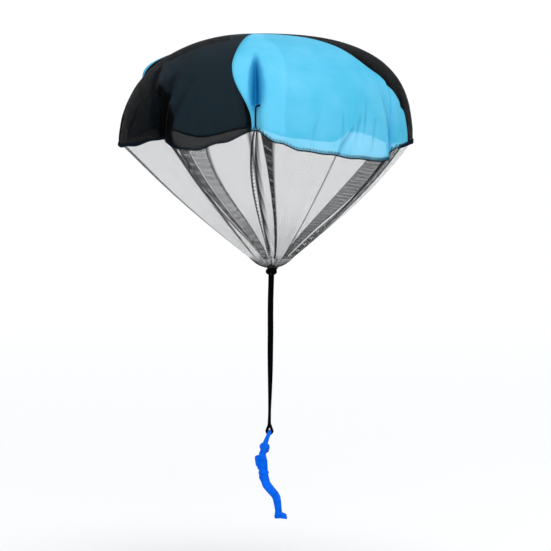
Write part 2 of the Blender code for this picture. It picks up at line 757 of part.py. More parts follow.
def main():
    for part in list(bpy.data.objects):
        bpy.data.objects.remove(part)
    parts = new_collection("toy_parachute")
    cutters = new_collection("helper_shapes")
    for gore in GORES:
        build_gore(gore, parts)
        build_rim_edge(gore, parts)
    for seam in SEAMS:
        build_seam_allowance(seam, parts)
    pleats = list(PLEATS)
    for start_pleat, end_pleat in zip(pleats, pleats[1:] + pleats[:1]):
        build_net_sector(start_pleat, end_pleat, parts)
    build_net_gather(parts)
    build_knot(parts)
    build_tether(parts)
    build_jumper(parts, cutters)


main()
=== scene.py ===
"""Dresses the toy parachute: see-through cloth, gathered net, stitching, cord and moulded jumper.

Angles round the canopy are degrees from -Y, its front, towards +X. Lengths are metres. A fall is a
place on the way down the cloth, from 0 at the crown to 1 at the rim.
"""
import math

import bmesh
import bpy
from mathutils import Matrix, Vector, noise
from mathutils.geometry import interpolate_bezier


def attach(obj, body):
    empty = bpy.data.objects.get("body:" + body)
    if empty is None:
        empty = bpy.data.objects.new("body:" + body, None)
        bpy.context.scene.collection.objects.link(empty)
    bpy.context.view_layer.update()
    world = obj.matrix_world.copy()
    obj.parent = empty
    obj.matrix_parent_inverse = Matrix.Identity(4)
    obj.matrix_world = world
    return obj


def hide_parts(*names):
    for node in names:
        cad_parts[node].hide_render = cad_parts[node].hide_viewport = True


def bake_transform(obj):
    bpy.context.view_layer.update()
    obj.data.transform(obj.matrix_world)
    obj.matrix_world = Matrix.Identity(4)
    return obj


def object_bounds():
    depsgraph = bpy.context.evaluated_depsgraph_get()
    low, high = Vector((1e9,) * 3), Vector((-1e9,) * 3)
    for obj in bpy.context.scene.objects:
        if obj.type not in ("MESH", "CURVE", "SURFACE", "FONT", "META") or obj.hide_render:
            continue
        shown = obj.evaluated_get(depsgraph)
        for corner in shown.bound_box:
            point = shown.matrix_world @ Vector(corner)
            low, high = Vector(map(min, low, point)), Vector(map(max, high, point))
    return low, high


bl_info = {
    "name": "Toy Parachute",
    "version": (1, 0, 0),
    "blender": (4, 5, 0),
    "location": "3D View > Sidebar > Parachute",
    "description": "Builds the cloth, net, cords and figure of a toy parachute",
    "category": "Add Mesh",
}

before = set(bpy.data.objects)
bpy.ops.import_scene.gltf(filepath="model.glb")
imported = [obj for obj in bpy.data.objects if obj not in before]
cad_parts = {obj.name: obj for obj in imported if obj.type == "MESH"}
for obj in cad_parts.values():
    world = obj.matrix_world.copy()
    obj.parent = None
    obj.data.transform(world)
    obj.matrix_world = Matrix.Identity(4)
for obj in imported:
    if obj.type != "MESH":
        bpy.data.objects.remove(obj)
CAD_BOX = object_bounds()

# Canopy shape
CANOPY_RADIUS = 0.1500
CANOPY_HEIGHT = 0.1075
CANOPY_LEAN = 0.0113
CROWN_HOLE_RADIUS = 0.0004
PROFILE_POWER = 2.4
PROFILE_LEAN = 0.3
SCALLOP_DEPTH = 0.0100
SLOPE_STEP = 0.004
SLOPE_ANGLE = 0.5

# Gores: thickness, length from crown to rim with what is added for hem and sag, and the hem itself
CLOTH_THICKNESS = 0.0004
GORE_LENGTH = 1.32 * CANOPY_RADIUS
HEM_DROP = 0.0022
HEM_SHARES = (0.33, 0.67, 1.0)
GORES = {
    "gore_blue_front": ("front", "right", "blue_cloth"),
    "gore_black_right": ("right", "back", "black_cloth"),
    "gore_blue_back": ("back", "left", "blue_cloth"),
    "gore_black_left": ("left", "front", "black_cloth"),
}

# Seams: the fall at which they start to drift, and their angles at the crown and at the rim
SEAM_SHIFT = 0.45
SEAMS = {
    "front": (-16.0, -5.4),
    "right": (58.0, 73.5),
    "back": (168.0, 172.0),
    "left": (254.0, 263.0),
}

# Pleats: angle, depth, half width and the share of the fall above them
PLEATS = {
    "front": (-4.0, 0.0125, 0.0060, 0.42),
    "front_right": (59.5, 0.0080, 0.0060, 0.60),
    "right": (98.0, 0.0045, 0.0070, 0.62),
    "back_right": (142.0, 0.0080, 0.0070, 0.55),
    "back": (186.0, 0.0080, 0.0070, 0.50),
    "back_left": (228.0, 0.0080, 0.0070, 0.55),
    "left": (276.0, 0.0045, 0.0070, 0.60),
    "front_left": (314.5, 0.0125, 0.0060, 0.45),
}
# Round the front pleat: how far its painted shade reaches, and the falls over which that shade fades as the
# pleat is stitched shut
FRONT_PLEAT_REACH = 12.0
PLEAT_CLOSES = (0.84, 0.93)

# How far the rim hangs below its plane, by angle, in shares of the scallop depth
RIM_FALLS = (
    (-4.0, -1.80), (5.0, -0.60), (14.0, 0.20), (25.0, 0.60), (36.0, 1.10), (51.0, 1.50), (58.5, 1.40),
    (62.5, 0.30), (80.0, 0.10), (98.0, 0.10), (120.0, 0.50), (142.0, -0.50), (153.0, 0.70),
    (167.0, 0.40), (186.0, -0.70), (207.0, 0.20), (228.0, -1.00), (250.0, 0.00), (276.0, 0.45),
    (297.0, 0.10), (314.5, -0.75), (325.0, 0.10), (332.0, 0.20), (343.0, -0.60),
)

# Creases: angle and fall at the top, angle and fall at the foot, depth and half width.
# The side of smaller angles is the sharper one.
SHARP_SIDE = 0.4
RIDGE_REACH = 4.0
CREASES = (
    (-4.2, 0.38, -4.4, 0.94, 0.0130, 0.0044),
    (-72.0, 0.46, -47.0, 0.84, 0.0050, 0.0040),
    (-52.0, 0.62, -46.5, 1.30, 0.0085, 0.0042),
    (250.0, 0.40, 253.0, 0.66, -0.0110, 0.0085),
    (4.0, 0.34, 14.0, 0.86, -0.0012, 0.0060),
    (38.0, 0.88, 27.0, 1.04, 0.0034, 0.0026),
    (42.0, 0.82, 36.0, 0.99, 0.0022, 0.0024),
    (33.0, 0.80, 31.0, 0.98, 0.0016, 0.0022),
    (47.0, 0.74, 40.0, 0.98, 0.0018, 0.0024),
    (22.0, 0.84, 17.0, 1.02, 0.0014, 0.0024),
    (50.0, 0.84, 45.0, 1.00, 0.0024, 0.0028),
    (66.0, 0.62, 60.0, 1.00, 0.0034, 0.0034),
    (74.0, 0.70, 66.0, 1.00, 0.0022, 0.0030),
    (-34.0, 0.56, -42.0, 1.02, 0.0026, 0.0046),
    (-52.0, 0.55, -48.0, 1.02, 0.0020, 0.0040),
    (-24.0, 0.70, -18.0, 1.02, 0.0011, 0.0032),
    (-62.0, 0.78, -68.0, 1.00, 0.0010, 0.0030),
    (104.0, 0.70, 99.0, 1.00, 0.0014, 0.0034),
    (134.0, 0.60, 141.0, 1.00, 0.0020, 0.0040),
    (150.0, 0.62, 144.0, 1.00, 0.0016, 0.0034),
    (178.0, 0.62, 185.0, 1.00, 0.0018, 0.0036),
    (194.0, 0.66, 188.0, 1.00, 0.0014, 0.0032),
    (220.0, 0.60, 227.0, 1.00, 0.0018, 0.0038),
    (236.0, 0.62, 230.0, 1.00, 0.0016, 0.0034),
    (270.0, 0.70, 275.0, 1.00, 0.0012, 0.0030),
)

# Unevenness of the cloth: broad dents, fine wrinkles on them, and puckers close to the rim
DENT_SCALE = 3.2
WRINKLE_SCALE = 4.3
WRINKLE_SHARE = 0.35
PUCKER_SCALE = 21.0
PUCKER_SHARE = 0.7
PUCKER_START = 0.84

# Painted shade in folded cloth: the pull at which the shade starts, the pull that gives it fully,
# and the share of the shade that any shallow fold gets. Folded cloth also hides more.
FOLD_SLACK = 0.0022
FOLD_DEPTH = 0.0080
SHALLOW_FOLD = 0.20

# Painted shade on the cloth: over the front pleat, where the cloth lies double, over a fold of the
# black gore and over the black gore's far left. For each, how soft its two edges are in degrees, then
# rows of fall, first angle, last angle and how much it darkens
PAINTED_SHADE_AREAS = {
    "front pleat": (
        0.6, 3.4,
        (0.40, -3.6, -2.8, 0.0), (0.46, -5.0, -1.8, 0.60), (0.56, -6.6, -0.2, 0.75),
        (0.70, -6.9, 0.8, 0.75), (0.82, -6.4, 0.0, 0.70), (0.90, -5.4, -2.8, 0.50),
        (0.95, -4.8, -3.6, 0.0),
    ),
    "black wedge": (
        0.9, 2.0,
        (0.58, -62.0, -61.0, 0.0), (0.66, -55.5, -53.5, 0.9), (0.74, -51.5, -46.0, 1.0),
        (0.86, -48.8, -38.6, 1.0), (1.01, -47.8, -38.4, 1.0),
    ),
    "far left": (
        2.0, 1.6,
        (0.44, -110.0, -78.0, 0.0), (0.52, -110.0, -68.0, 0.45), (0.62, -110.0, -59.0, 0.60),
        (0.74, -110.0, -52.0, 0.72), (0.86, -110.0, -49.0, 0.72), (1.01, -110.0, -48.0, 0.60),
    ),
}

# Seam allowances inside the canopy: first and last fall, width, depth under the cloth and wave
ALLOWANCE_FALLS = (0.11, 0.985)
ALLOWANCE_ROWS = 90
ALLOWANCE_COLUMNS = 4
ALLOWANCE_WIDTH = 0.0050
ALLOWANCE_DEPTH = 0.0007
ALLOWANCE_THICKNESS = 0.0007
ALLOWANCE_WAVE = 0.0005

# Stitches along the seams: first and last fall, how far beside the seam, and the size of one
STITCH_FALLS = (0.10, 0.985)
STITCH_COUNT = 62
STITCH_OFFSET = 0.0011
STITCH_REACH = 0.0032
STITCH_LIFT = 0.00004
STITCH_RADII = (0.00016, 0.00062, 0.00016)

# Stitched rim: the rolled edge, and the zigzag thread over it
ROLL_STEPS = 180
ROLL_INSET = 0.0004
ROLL_DROP = 0.0026
ROLL_WAVE = 0.0001
ROLL_RADIUS = 0.00072
ZIGZAG_TOP_FALL = 0.9988
ZIGZAG_TOP_LIFT = 0.00034
ZIGZAG_LOW_LIFT = 0.0004
ZIGZAG_DROP = 0.0028
ZIGZAG_RADIUS = 0.00044

# The thread that holds the front pleat shut: its falls, the hook at its top, and its thickness
CLOSING_FALLS = (0.865, 1.0)
CLOSING_STEPS = 12
HOOK_FALL = 0.885
HOOK_LENGTH = 0.02
HOOK_ANGLE = 2.0
CLOSING_LIFT = 0.0008
CLOSING_RADIUS = 0.0009

# Net below the rim
NET_START_DROP = 0.0018
NET_INSET = 0.0021
NET_BULGE = 0.0030
NET_SIDE_BULGE = 0.0034
NET_RIPPLE = 0.0013
NET_RIPPLE_SCALE = 9.0
NET_FOOT_RADIUS = 0.0229
NET_FOOT_Z = -0.2290
NET_SLANT = 0.178
NET_LEAST_AREA_SHARE = 0.31
NET_LAYER = 0.0005
NET_FOOT_LAYER_SHARE = 0.3
NET_STEP = 1.5

# Creases at the turns of a fold: width, how it grows from rim to foot, its limits as shares of the
# fold, and how bunched it is
NET_CREASE_WIDTH = 0.0007
NET_CREASE_GROWTH = (1.0, 1.6, 3.0)
NET_CREASE_LIMITS = (0.3, 0.4)
NET_CREASE_BUNCH = 2.0

# How much closer the threads lie towards the foot, everywhere and round the angle that is seen best
NET_BUNCH_START = 0.45
NET_FOOT_BUNCH = 0.09
NET_FACING_BUNCH = 0.30
NET_FACING_ANGLE = 25.0
NET_FACING_SPREAD = 100.0

# Where each length of net starts: its angles at the rim, at the middle and at the foot
NET_STARTS = {
    "front": (-4.0, -6.8, -4.5),
    "front_right": (56.6, 49.6, 42.0),
    "right": (98.0, 98.0, 98.0),
    "back_right": (142.0, 142.0, 142.0),
    "back": (186.0, 186.0, 186.0),
    "back_left": (228.0, 228.0, 228.0),
    "left": (274.0, 272.0, 270.0),
    "front_left": (314.5, 318.0, 334.0),
}

# Folds of the net: the angles of both edges at rim, middle and foot, and how bunched the layers are
NET_FOLDS = {
    "front": (
        ((-3.9, -6.7, -4.4), (-3.4, -6.3, -3.9), 1.60),
        ((-2.0, 2.4, 7.0), (2.6, 4.4, 11.0), 1.10),
        ((43.6, 36.5, 28.0), (55.8, 48.0, 38.0), 0.38),
    ),
    "front_right": (
        ((57.0, 50.4, 43.5), (62.0, 60.0, 58.0), 0.34),
        ((62.4, 60.6, 59.0), (67.5, 72.0, 78.0), 0.34),
    ),
    "right": (((98.2, 98.2, 98.2), (100.4, 99.8, 102.0), 0.20),),
    "back_right": (((142.2, 142.2, 142.2), (144.6, 143.6, 146.0), 0.30),),
    "back": (((186.2, 186.2, 186.2), (187.2, 187.0, 187.4), 0.05),),
    "back_left": (((228.2, 228.2, 228.2), (230.6, 229.8, 232.0), 0.30),),
    "left": (((275.0, 272.4, 270.4), (284.0, 276.0, 271.6), 0.12),),
    "front_left": (
        ((317.0, 321.2, 338.0), (320.4, 323.6, 339.2), 0.45),
        ((323.4, 325.4, 339.8), (328.4, 329.6, 341.8), 0.60),
        ((328.9, 330.4, 342.2), (336.2, 337.2, 352.5), 0.18),
        ((355.2, 350.4, 353.6), (355.8, 350.9, 354.2), 1.60),
    ),
}

# Loose threads at the edge of the net: angle, how far out and how far down they hang
LOOSE_THREAD_RADIUS = 0.0002
LOOSE_THREADS = (
    (60.5, 0.0026, 0.0120), (63.0, 0.0040, 0.0070), (66.0, 0.0022, 0.0090), (71.0, 0.0034, 0.0060),
    (318.0, 0.0020, 0.0080), (143.0, 0.0024, 0.0090), (229.0, 0.0026, 0.0080),
)

# The net drawn together: height, radius, flute share and how bunched it is
NECK_X = 0.0172
GATHER = (
    (-0.2287, 0.0231, 0.02, 0.55), (-0.2309, 0.0211, 0.05, 0.60), (-0.2332, 0.0184, 0.08, 0.75),
    (-0.2355, 0.0153, 0.11, 0.95), (-0.2374, 0.0118, 0.15, 1.30), (-0.2388, 0.0080, 0.20, 1.80),
    (-0.2396, 0.0048, 0.20, 2.60), (-0.2401, 0.0029, 0.15, 3.00),
)
GATHER_ROWS = 4
GATHER_ROW_LENGTH = 0.0012
FLUTE_COLUMNS = 8
FUNNEL_LENGTH_SHARE = 1.9

# Knot, drawn fuller than its solid, and its tail as steps from the knot's middle
KNOT_Z = -0.2419
KNOT_RADIUS = 0.0053
KNOT_STRAND = 0.0017
KNOT_FULLNESS = 2.1
KNOT_SPREAD = 1.5
KNOT_POINTS = 150
KNOT_TAIL = (
    (0.0006, -0.0010, -0.0008), (0.0022, -0.0020, 0.0006), (0.0042, -0.0018, 0.0020),
    (0.0060, -0.0010, 0.0026),
)
KNOT_TAIL_RADIUS = 0.0014

# The cord from the knot down, round the hand bar and up again
CORD_ROUTE = (
    (0.01572, 0.0000, -0.2464), (0.01550, 0.0000, -0.2560), (0.01510, 0.0000, -0.2700),
    (0.01488, 0.0001, -0.2880), (0.01493, 0.0002, -0.3050), (0.01480, 0.0005, -0.3250),
    (0.01497, 0.0010, -0.3450), (0.01530, 0.0014, -0.3650), (0.01545, 0.0015, -0.3850),
    (0.01540, 0.0015, -0.3985), (0.01600, 0.0013, -0.4018), (0.01700, 0.0006, -0.4045),
    (0.01805, 0.0000, -0.4076), (0.01722, 0.0000, -0.40952), (0.01530, 0.0000, -0.41032),
    (0.01338, 0.0000, -0.40952), (0.01255, 0.0000, -0.4076), (0.01360, -0.0006, -0.4045),
    (0.01460, -0.0013, -0.4018), (0.01500, -0.0015, -0.3985), (0.01555, -0.0015, -0.3850),
    (0.01650, -0.0014, -0.3650), (0.01723, -0.0010, -0.3450), (0.01760, -0.0005, -0.3250),
    (0.01787, -0.0002, -0.3050), (0.01782, -0.0001, -0.2880), (0.01800, 0.0000, -0.2700),
    (0.01840, 0.0000, -0.2560), (0.01868, 0.0000, -0.2464),
)
CORD_DIAMETER = 0.0026
CORD_FULLNESS = 0.58
CORD_STEP = 0.0009
CORD_TWISTS = ((0.0152, 0.0, -0.3950), (0.0152, 0.0, -0.4030))

# Jumper. Its tables are in shares of its reach, from the top of the hand bar down to the soles.
# What lies off the middle is there on both sides.
HAND_BAR = Vector((0.0153, 0.0, -0.4076))
HAND_BAR_RADIUS = 0.0011
HAND_BAR_PLACE = (0.0, 0.044, 0.0124)
JUMPER_REACH = 0.0923
MOULDING_GRAIN = 0.00034

# Egg shapes: forward, side, down, depth, width, height and turn
EGGS = {
    "chest": (-0.084, 0.0, 0.315, 0.050, 0.098, 0.052, 0.0),
    "ribs": (-0.080, 0.0, 0.385, 0.052, 0.094, 0.085, 0.0),
    "waist": (-0.070, 0.0, 0.455, 0.049, 0.084, 0.070, 0.0),
    "hips": (-0.064, 0.0, 0.520, 0.054, 0.088, 0.062, 0.0),
    "face": (-0.047, 0.0, 0.206, 0.046, 0.043, 0.058, 10.0),
    "helmet": (-0.054, 0.0, 0.188, 0.058, 0.054, 0.050, 8.0),
    "nose": (-0.007, 0.0, 0.206, 0.009, 0.008, 0.012, 0.0),
    "chin": (-0.022, 0.0, 0.238, 0.017, 0.020, 0.012, 0.0),
    "mouth": (-0.011, 0.0, 0.225, 0.006, 0.015, 0.004, 0.0),
    "brow": (-0.010, 0.0, 0.181, 0.011, 0.036, 0.009, 0.0),
    "ear pad": (-0.052, 0.050, 0.206, 0.020, 0.010, 0.022, 0.0),
    "boot": (0.106, 0.0435, 0.945, 0.050, 0.039, 0.036, 7.0),
    "toe": (0.146, 0.0435, 0.957, 0.048, 0.037, 0.026, 9.0),
}

# Rounded blocks: forward, side, down, depth, width, height, rounding and turn
BLOCKS = {
    "belt": (-0.066, 0.0, 0.478, 0.112, 0.178, 0.022, 0.009, 0.0),
    "buckle": (-0.014, 0.0, 0.478, 0.014, 0.034, 0.026, 0.004, 0.0),
    "pack": (-0.126, 0.0, 0.345, 0.062, 0.142, 0.120, 0.024, -6.0),
    "pack foot": (-0.116, 0.0, 0.392, 0.050, 0.136, 0.100, 0.022, -14.0),
    "pack strap": (-0.154, 0.034, 0.348, 0.010, 0.016, 0.096, 0.003, -8.0),
    "pack band": (-0.150, 0.0, 0.376, 0.010, 0.118, 0.014, 0.003, -10.0),
    "sole": (0.125, 0.0435, 0.974, 0.144, 0.075, 0.017, 0.006, 7.0),
    "heel": (0.076, 0.0435, 0.972, 0.034, 0.068, 0.024, 0.006, 7.0),
}

# Limbs and straps: forward, side, down and radius
LIMBS = {
    "neck": ((-0.080, 0.0, 0.285, 0.036), (-0.060, 0.0, 0.225, 0.036)),
    "arm": (
        (-0.086, 0.080, 0.300, 0.034), (-0.074, 0.085, 0.240, 0.030), (-0.054, 0.082, 0.170, 0.028),
        (-0.034, 0.068, 0.115, 0.024), (-0.018, 0.052, 0.072, 0.021), (-0.006, 0.044, 0.040, 0.024),
        (0.000, 0.040, 0.024, 0.022),
    ),
    "leg": (
        (-0.060, 0.042, 0.520, 0.050), (-0.034, 0.044, 0.610, 0.047), (0.022, 0.045, 0.680, 0.044),
        (0.060, 0.045, 0.722, 0.043), (0.080, 0.045, 0.762, 0.044), (0.092, 0.045, 0.830, 0.042),
        (0.099, 0.045, 0.890, 0.038), (0.101, 0.045, 0.945, 0.042),
    ),
    "shoulder strap": (
        (-0.110, 0.052, 0.262, 0.0085), (-0.084, 0.056, 0.256, 0.0085), (-0.050, 0.054, 0.276, 0.0085),
        (-0.036, 0.050, 0.330, 0.0085), (-0.028, 0.046, 0.400, 0.0085), (-0.026, 0.044, 0.468, 0.0085),
    ),
    "chest strap": ((-0.029, 0.050, 0.352, 0.0085), (-0.029, 0.0, 0.352, 0.0085)),
}

# Thigh straps, as rings: middle and half size, each forward, side and down, and the radius
THIGH_RING = ((-0.044, 0.044, 0.582), (0.052, 0.047, 0.016))
THIGH_STRAP_RADIUS = 0.0068
THIGH_STRAP_STEPS = 18

# Stage: the floor, the lamps with place, size and power, and the camera
FLOOR_DROP = 0.06
FLOOR_RADIUS = 60.0
LAMPS = {
    "top_light": ((0.3, -0.6, 1.6), 1.0, 9.0),
    "front_light": ((0.3, -2.1, 0.7), 1.2, 13.0),
}
LAMP_AIM = Vector((0.0, 0.0, -0.15))
CAMERA_AIM = Vector((0.0215, 0.0, -0.2475))
CAMERA_DISTANCE = 5.0
CAMERA_ELEVATION = 4.5
CAMERA_SENSOR = 36.0
VIEW_WIDTH = 0.5642


def smooth_step(value):
    """0 to 1 with level ends."""
    value = min(max(value, 0.0), 1.0)
    return value * value * (3.0 - 2.0 * value)


def blend(start, end, share):
    """A value or vector between start and end."""
    return start * (1.0 - share) + end * share


def around(degrees):
    """An angle brought into -180 to 180 degrees."""
    return (degrees + 180.0) % 360.0 - 180.0


def outward(angle):
    """The level direction that points away from the canopy's middle at an angle."""
    turn = math.radians(angle)
    return Vector((math.sin(turn), -math.cos(turn), 0.0))


def rim_fall(angle):
    """How far the rim hangs below its plane at this angle."""
    first = RIM_FALLS[0][0]
    place = (angle - first) % 360.0
    knots = [((at - first) % 360.0, share) for at, share in RIM_FALLS]
    knots.append((360.0, RIM_FALLS[0][1]))
    for (low, low_share), (high, high_share) in zip(knots, knots[1:]):
        if place <= high:
            return SCALLOP_DEPTH * blend(low_share, high_share, smooth_step((place - low) / (high - low)))
    return 0.0


def ridge(angle, centre, radius, half_width, sharp_side=1.0):
    """The height of a rounded ridge, 1 on its line. Its side of smaller angles can be sharper."""
    across = math.radians(around(angle - centre)) * radius / half_width
    if across < 0.0:
        across /= sharp_side
    return math.exp(-across * across) if abs(across) < RIDGE_REACH else 0.0


def pleat_pull(angle, fall, radius):
    """How far the pleats draw the cloth in."""
    pull = 0.0
    for centre, depth, half_width, start in PLEATS.values():
        pull += depth * smooth_step((fall - start) / (1.0 - start)) * ridge(angle, centre, radius, half_width)
    return pull


def crease_pull(angle, fall, radius):
    """How far the creases draw the cloth in."""
    pull = 0.0
    for top_angle, top, foot_angle, foot, depth, half_width in CREASES:
        if top < fall < foot:
            share = (fall - top) / (foot - top)
            line = ridge(angle, blend(top_angle, foot_angle, share), radius, half_width, SHARP_SIDE)
            pull += depth * math.sin(math.pi * share) * line
    return pull


def soft_relief(angle, fall):
    """Slight unevenness of the cloth: broad dents, fine wrinkles, and puckers by the stitched rim."""
    turn = math.radians(angle)
    spot = Vector((math.sin(turn) * fall, math.cos(turn) * fall, fall)) * DENT_SCALE
    dents = noise.noise(spot) * smooth_step(fall / 0.5)
    wrinkles = noise.noise(spot * WRINKLE_SCALE + Vector((7.0, 3.0, 1.0))) * WRINKLE_SHARE * fall
    puckers = noise.noise(Vector((math.sin(turn), math.cos(turn), 0.3 * fall)) * PUCKER_SCALE)
    puckers *= PUCKER_SHARE * smooth_step((fall - PUCKER_START) / (1.0 - PUCKER_START))
    return bpy.context.scene.parachute_canopy.wrinkle_depth * (dents + wrinkles + puckers)


def canopy_point(angle, fall, relief=True):
    """A point of the outer canopy face, with or without its creases and unevenness."""
    bend = 0.5 * math.pi * fall
    power = PROFILE_POWER + PROFILE_LEAN * math.sin(math.radians(angle))
    out_share = math.sin(bend) ** (2.0 / power)
    down_share = 1.0 - max(math.cos(bend), 0.0) ** (2.0 / power)
    full_radius = CANOPY_RADIUS * out_share
    radius = full_radius - pleat_pull(angle, fall, full_radius)
    if relief:
        radius -= crease_pull(angle, fall, full_radius) + soft_relief(angle, fall)
    height = CANOPY_HEIGHT + rim_fall(angle) * smooth_step(fall)
    return outward(angle) * radius + Vector((CANOPY_LEAN * out_share, 0.0, -height * down_share))


def painted_shade_share(angle, fall):
    """How much painted shade the listed areas put on this place."""
    most = 0.0
    for first_edge, last_edge, *rows in PAINTED_SHADE_AREAS.values():
        for (low, first, last, share), (high, next_first, next_last, next_share) in zip(rows, rows[1:]):
            if low <= fall < high:
                part = (fall - low) / (high - low)
                start = around(angle - blend(first, next_first, part))
                end = around(blend(last, next_last, part) - angle)
                inside = smooth_step(start / first_edge + 0.5) * smooth_step(end / last_edge + 0.5)
                most = max(most, inside * blend(share, next_share, part))
    return most


def fold_shade_share(angle, fall):
    """How far the cloth is folded in on itself, as the share of painted shade it gets, from 0 on the open
    cloth to 1 inside a deep fold. The same share makes the cloth hide more.
    """
    pull = pleat_pull(angle, fall, CANOPY_RADIUS) + max(crease_pull(angle, fall, CANOPY_RADIUS), 0.0)
    if abs(around(angle - PLEATS["front"][0])) < FRONT_PLEAT_REACH:
        start, end = PLEAT_CLOSES
        pull *= 1.0 - smooth_step((fall - start) / (end - start))
    shallow = SHALLOW_FOLD * smooth_step(pull / FOLD_SLACK)
    return max(smooth_step((pull - FOLD_SLACK) / FOLD_DEPTH), painted_shade_share(angle, fall), shallow)


def canopy_inward(angle, fall):
    """The unit direction from the cloth's outer face to its inner face."""
    low = min(fall + SLOPE_STEP, 1.0)
    along = canopy_point(angle, low, False) - canopy_point(angle, low - 2.0 * SLOPE_STEP, False)
    across = canopy_point(angle + SLOPE_ANGLE, fall, False) - canopy_point(angle - SLOPE_ANGLE, fall, False)
    return across.cross(along).normalized()


def seam_angle(name, fall):
    """The angle of a seam, which drifts towards its rim angle as it falls."""
    crown_angle, rim_angle = SEAMS[name]
    return blend(crown_angle, rim_angle, smooth_step((fall - SEAM_SHIFT) / (1.0 - SEAM_SHIFT)))


def gore_angle(gore, fall, share):
    """The angle at a share of the way from a gore's first seam to its second."""
    start = seam_angle(GORES[gore][0], fall)
    end = seam_angle(GORES[gore][1], fall)
    return start + ((end - start) % 360.0) * share


def crown_fall():
    """The fall at which the gores start."""
    sine = (CROWN_HOLE_RADIUS / CANOPY_RADIUS) ** (PROFILE_POWER / 2.0)
    return math.asin(sine) / (0.5 * math.pi)


class Wire:
    """A shader socket that sums, differences and products can be written with."""

    def __init__(self, nodes, socket):
        self.nodes = nodes
        self.socket = socket

    def math(self, operation, *others):
        """A Math node on this socket and the others."""
        return self.nodes.node("ShaderNodeMath", {"operation": operation}, dict(enumerate((self, *others))))

    def limited(self):
        """The same value, kept within 0 and 1."""
        return self.math("MINIMUM", 1.0).math("MAXIMUM", 0.0)

    def wave(self, pitch):
        """A sine wave with one crest in every pitch."""
        return (self * (2.0 * math.pi / pitch)).math("SINE")

    def __add__(self, other):
        return self.math("ADD", other)

    def __radd__(self, other):
        return self.math("ADD", other)

    def __sub__(self, other):
        return self.math("SUBTRACT", other)

    def __rsub__(self, other):
        return self.nodes.node("ShaderNodeMath", {"operation": "SUBTRACT"}, {0: other, 1: self})

    def __mul__(self, other):
        return self.math("MULTIPLY", other)

    def __rmul__(self, other):
        return self.math("MULTIPLY", other)

    def __truediv__(self, other):
        return self.math("DIVIDE", other)

    def __rtruediv__(self, other):
        return self.nodes.node("ShaderNodeMath", {"operation": "DIVIDE"}, {0: other, 1: self})


class Nodes:
    """The nodes of a material or of the world."""

    def __init__(self, tree):
        self.tree = tree

    def node(self, kind, settings=None, values=None, output=0):
        """Adds one node, sets it, fills its sockets with values or links and returns an output."""
        made = self.tree.nodes.new(kind)
        for name, value in (settings or {}).items():
            setattr(made, name, value)
        for key, value in (values or {}).items():
            if isinstance(value, Wire):
                self.tree.links.new(value.socket, made.inputs[key])
            else:
                made.inputs[key].default_value = value
        return Wire(self, made.outputs[output])

    def seen(self):
        """1 for what the camera sees, straight, mirrored or through glass, and 0 for other light."""
        path = self.node("ShaderNodeLightPath", output="Is Camera Ray")
        rays = path.socket.node.outputs
        for name in ("Is Glossy Ray", "Is Transmission Ray"):
            path = path.math("MAXIMUM", Wire(self, rays[name]))
        return path


class Shading(Nodes):
    """A material's nodes."""

    def __init__(self, name, constants):
        self.material = bpy.data.materials.new(name)
        self.material.use_nodes = True
        super().__init__(self.material.node_tree)
        self.shader = self.tree.nodes["Principled BSDF"]
        for socket, value in constants.items():
            self.shader.inputs[socket].default_value = value

    def feed(self, socket, wire):
        """Links a socket of the main shader."""
        self.tree.links.new(wire.socket, self.shader.inputs[socket])

    def place(self):
        """Object coordinates."""
        return self.node("ShaderNodeTexCoord", output="Object")

    def cloth_places(self):
        """The piece's own cloth map, in metres, as two wires."""
        cloth = self.node("ShaderNodeUVMap", {"uv_map": "cloth"})
        across = self.node("ShaderNodeSeparateXYZ", values={0: cloth})
        return across, Wire(self, across.socket.node.outputs["Y"])

    def bunch(self):
        """How bunched the net is, and on the canopy's cloth how much painted shade its folds get."""
        return self.node("ShaderNodeAttribute", {"attribute_name": "bunch"}, output="Fac")

    def noise(self, scale, detail):
        """A noise texture's value."""
        values = {"Vector": self.place(), "Scale": scale, "Detail": detail}
        return self.node("ShaderNodeTexNoise", values=values)

    def mix(self, factor, first, second):
        """A colour between two colours. The Mix node's colours are its sockets 6 and 7, and output 2."""
        first, second = (value if isinstance(value, Wire) else (*value, 1.0) for value in (first, second))
        return self.node("ShaderNodeMix", {"data_type": "RGBA"}, {0: factor, 6: first, 7: second}, output=2)

    def bump(self, height, distance, strength):
        """Feeds the normal from a height."""
        values = {"Height": height, "Distance": distance, "Strength": strength}
        self.feed("Normal", self.node("ShaderNodeBump", values=values, output="Normal"))


def tinted(colour, share):
    """A colour made darker or lighter."""
    return tuple(min(channel * share, 1.0) for channel in colour)


def cloth_material(name, colour, pale, deep, cover, gloss):
    """Thin see-through nylon: fine ribs, soft wrinkles, uneven tone with painted sheen and shade in random
    spots, and painted shade in its folds, where it also hides more.
    """
    across_pitch, along_pitch = 0.0006, 0.0008
    shading = Shading(name, {"Specular IOR Level": gloss})
    across, along = shading.cloth_places()
    folded = shading.bunch()
    ribs = across.wave(across_pitch) + along.wave(along_pitch)
    wrinkles = shading.noise(70.0, 4.0)
    # Painted sheen and shade: random spots that lighten the cloth towards pale or darken it
    sheen_and_shade_spots = (shading.noise(26.0, 4.0) - 0.5) * 2.4 + 0.5
    tone = shading.mix(sheen_and_shade_spots.limited(), tinted(colour, 0.90), pale)
    # Painted shade: folded cloth is mixed towards the deep colour
    shading.feed("Base Color", shading.mix(folded, tone, deep))
    shading.feed("Alpha", folded * (0.92 * (1.0 - cover)) + cover)
    shading.feed("Roughness", 0.50 + wrinkles * 0.18)
    shading.bump(ribs * 0.04 + wrinkles, 0.0007, 0.5)
    return shading.material


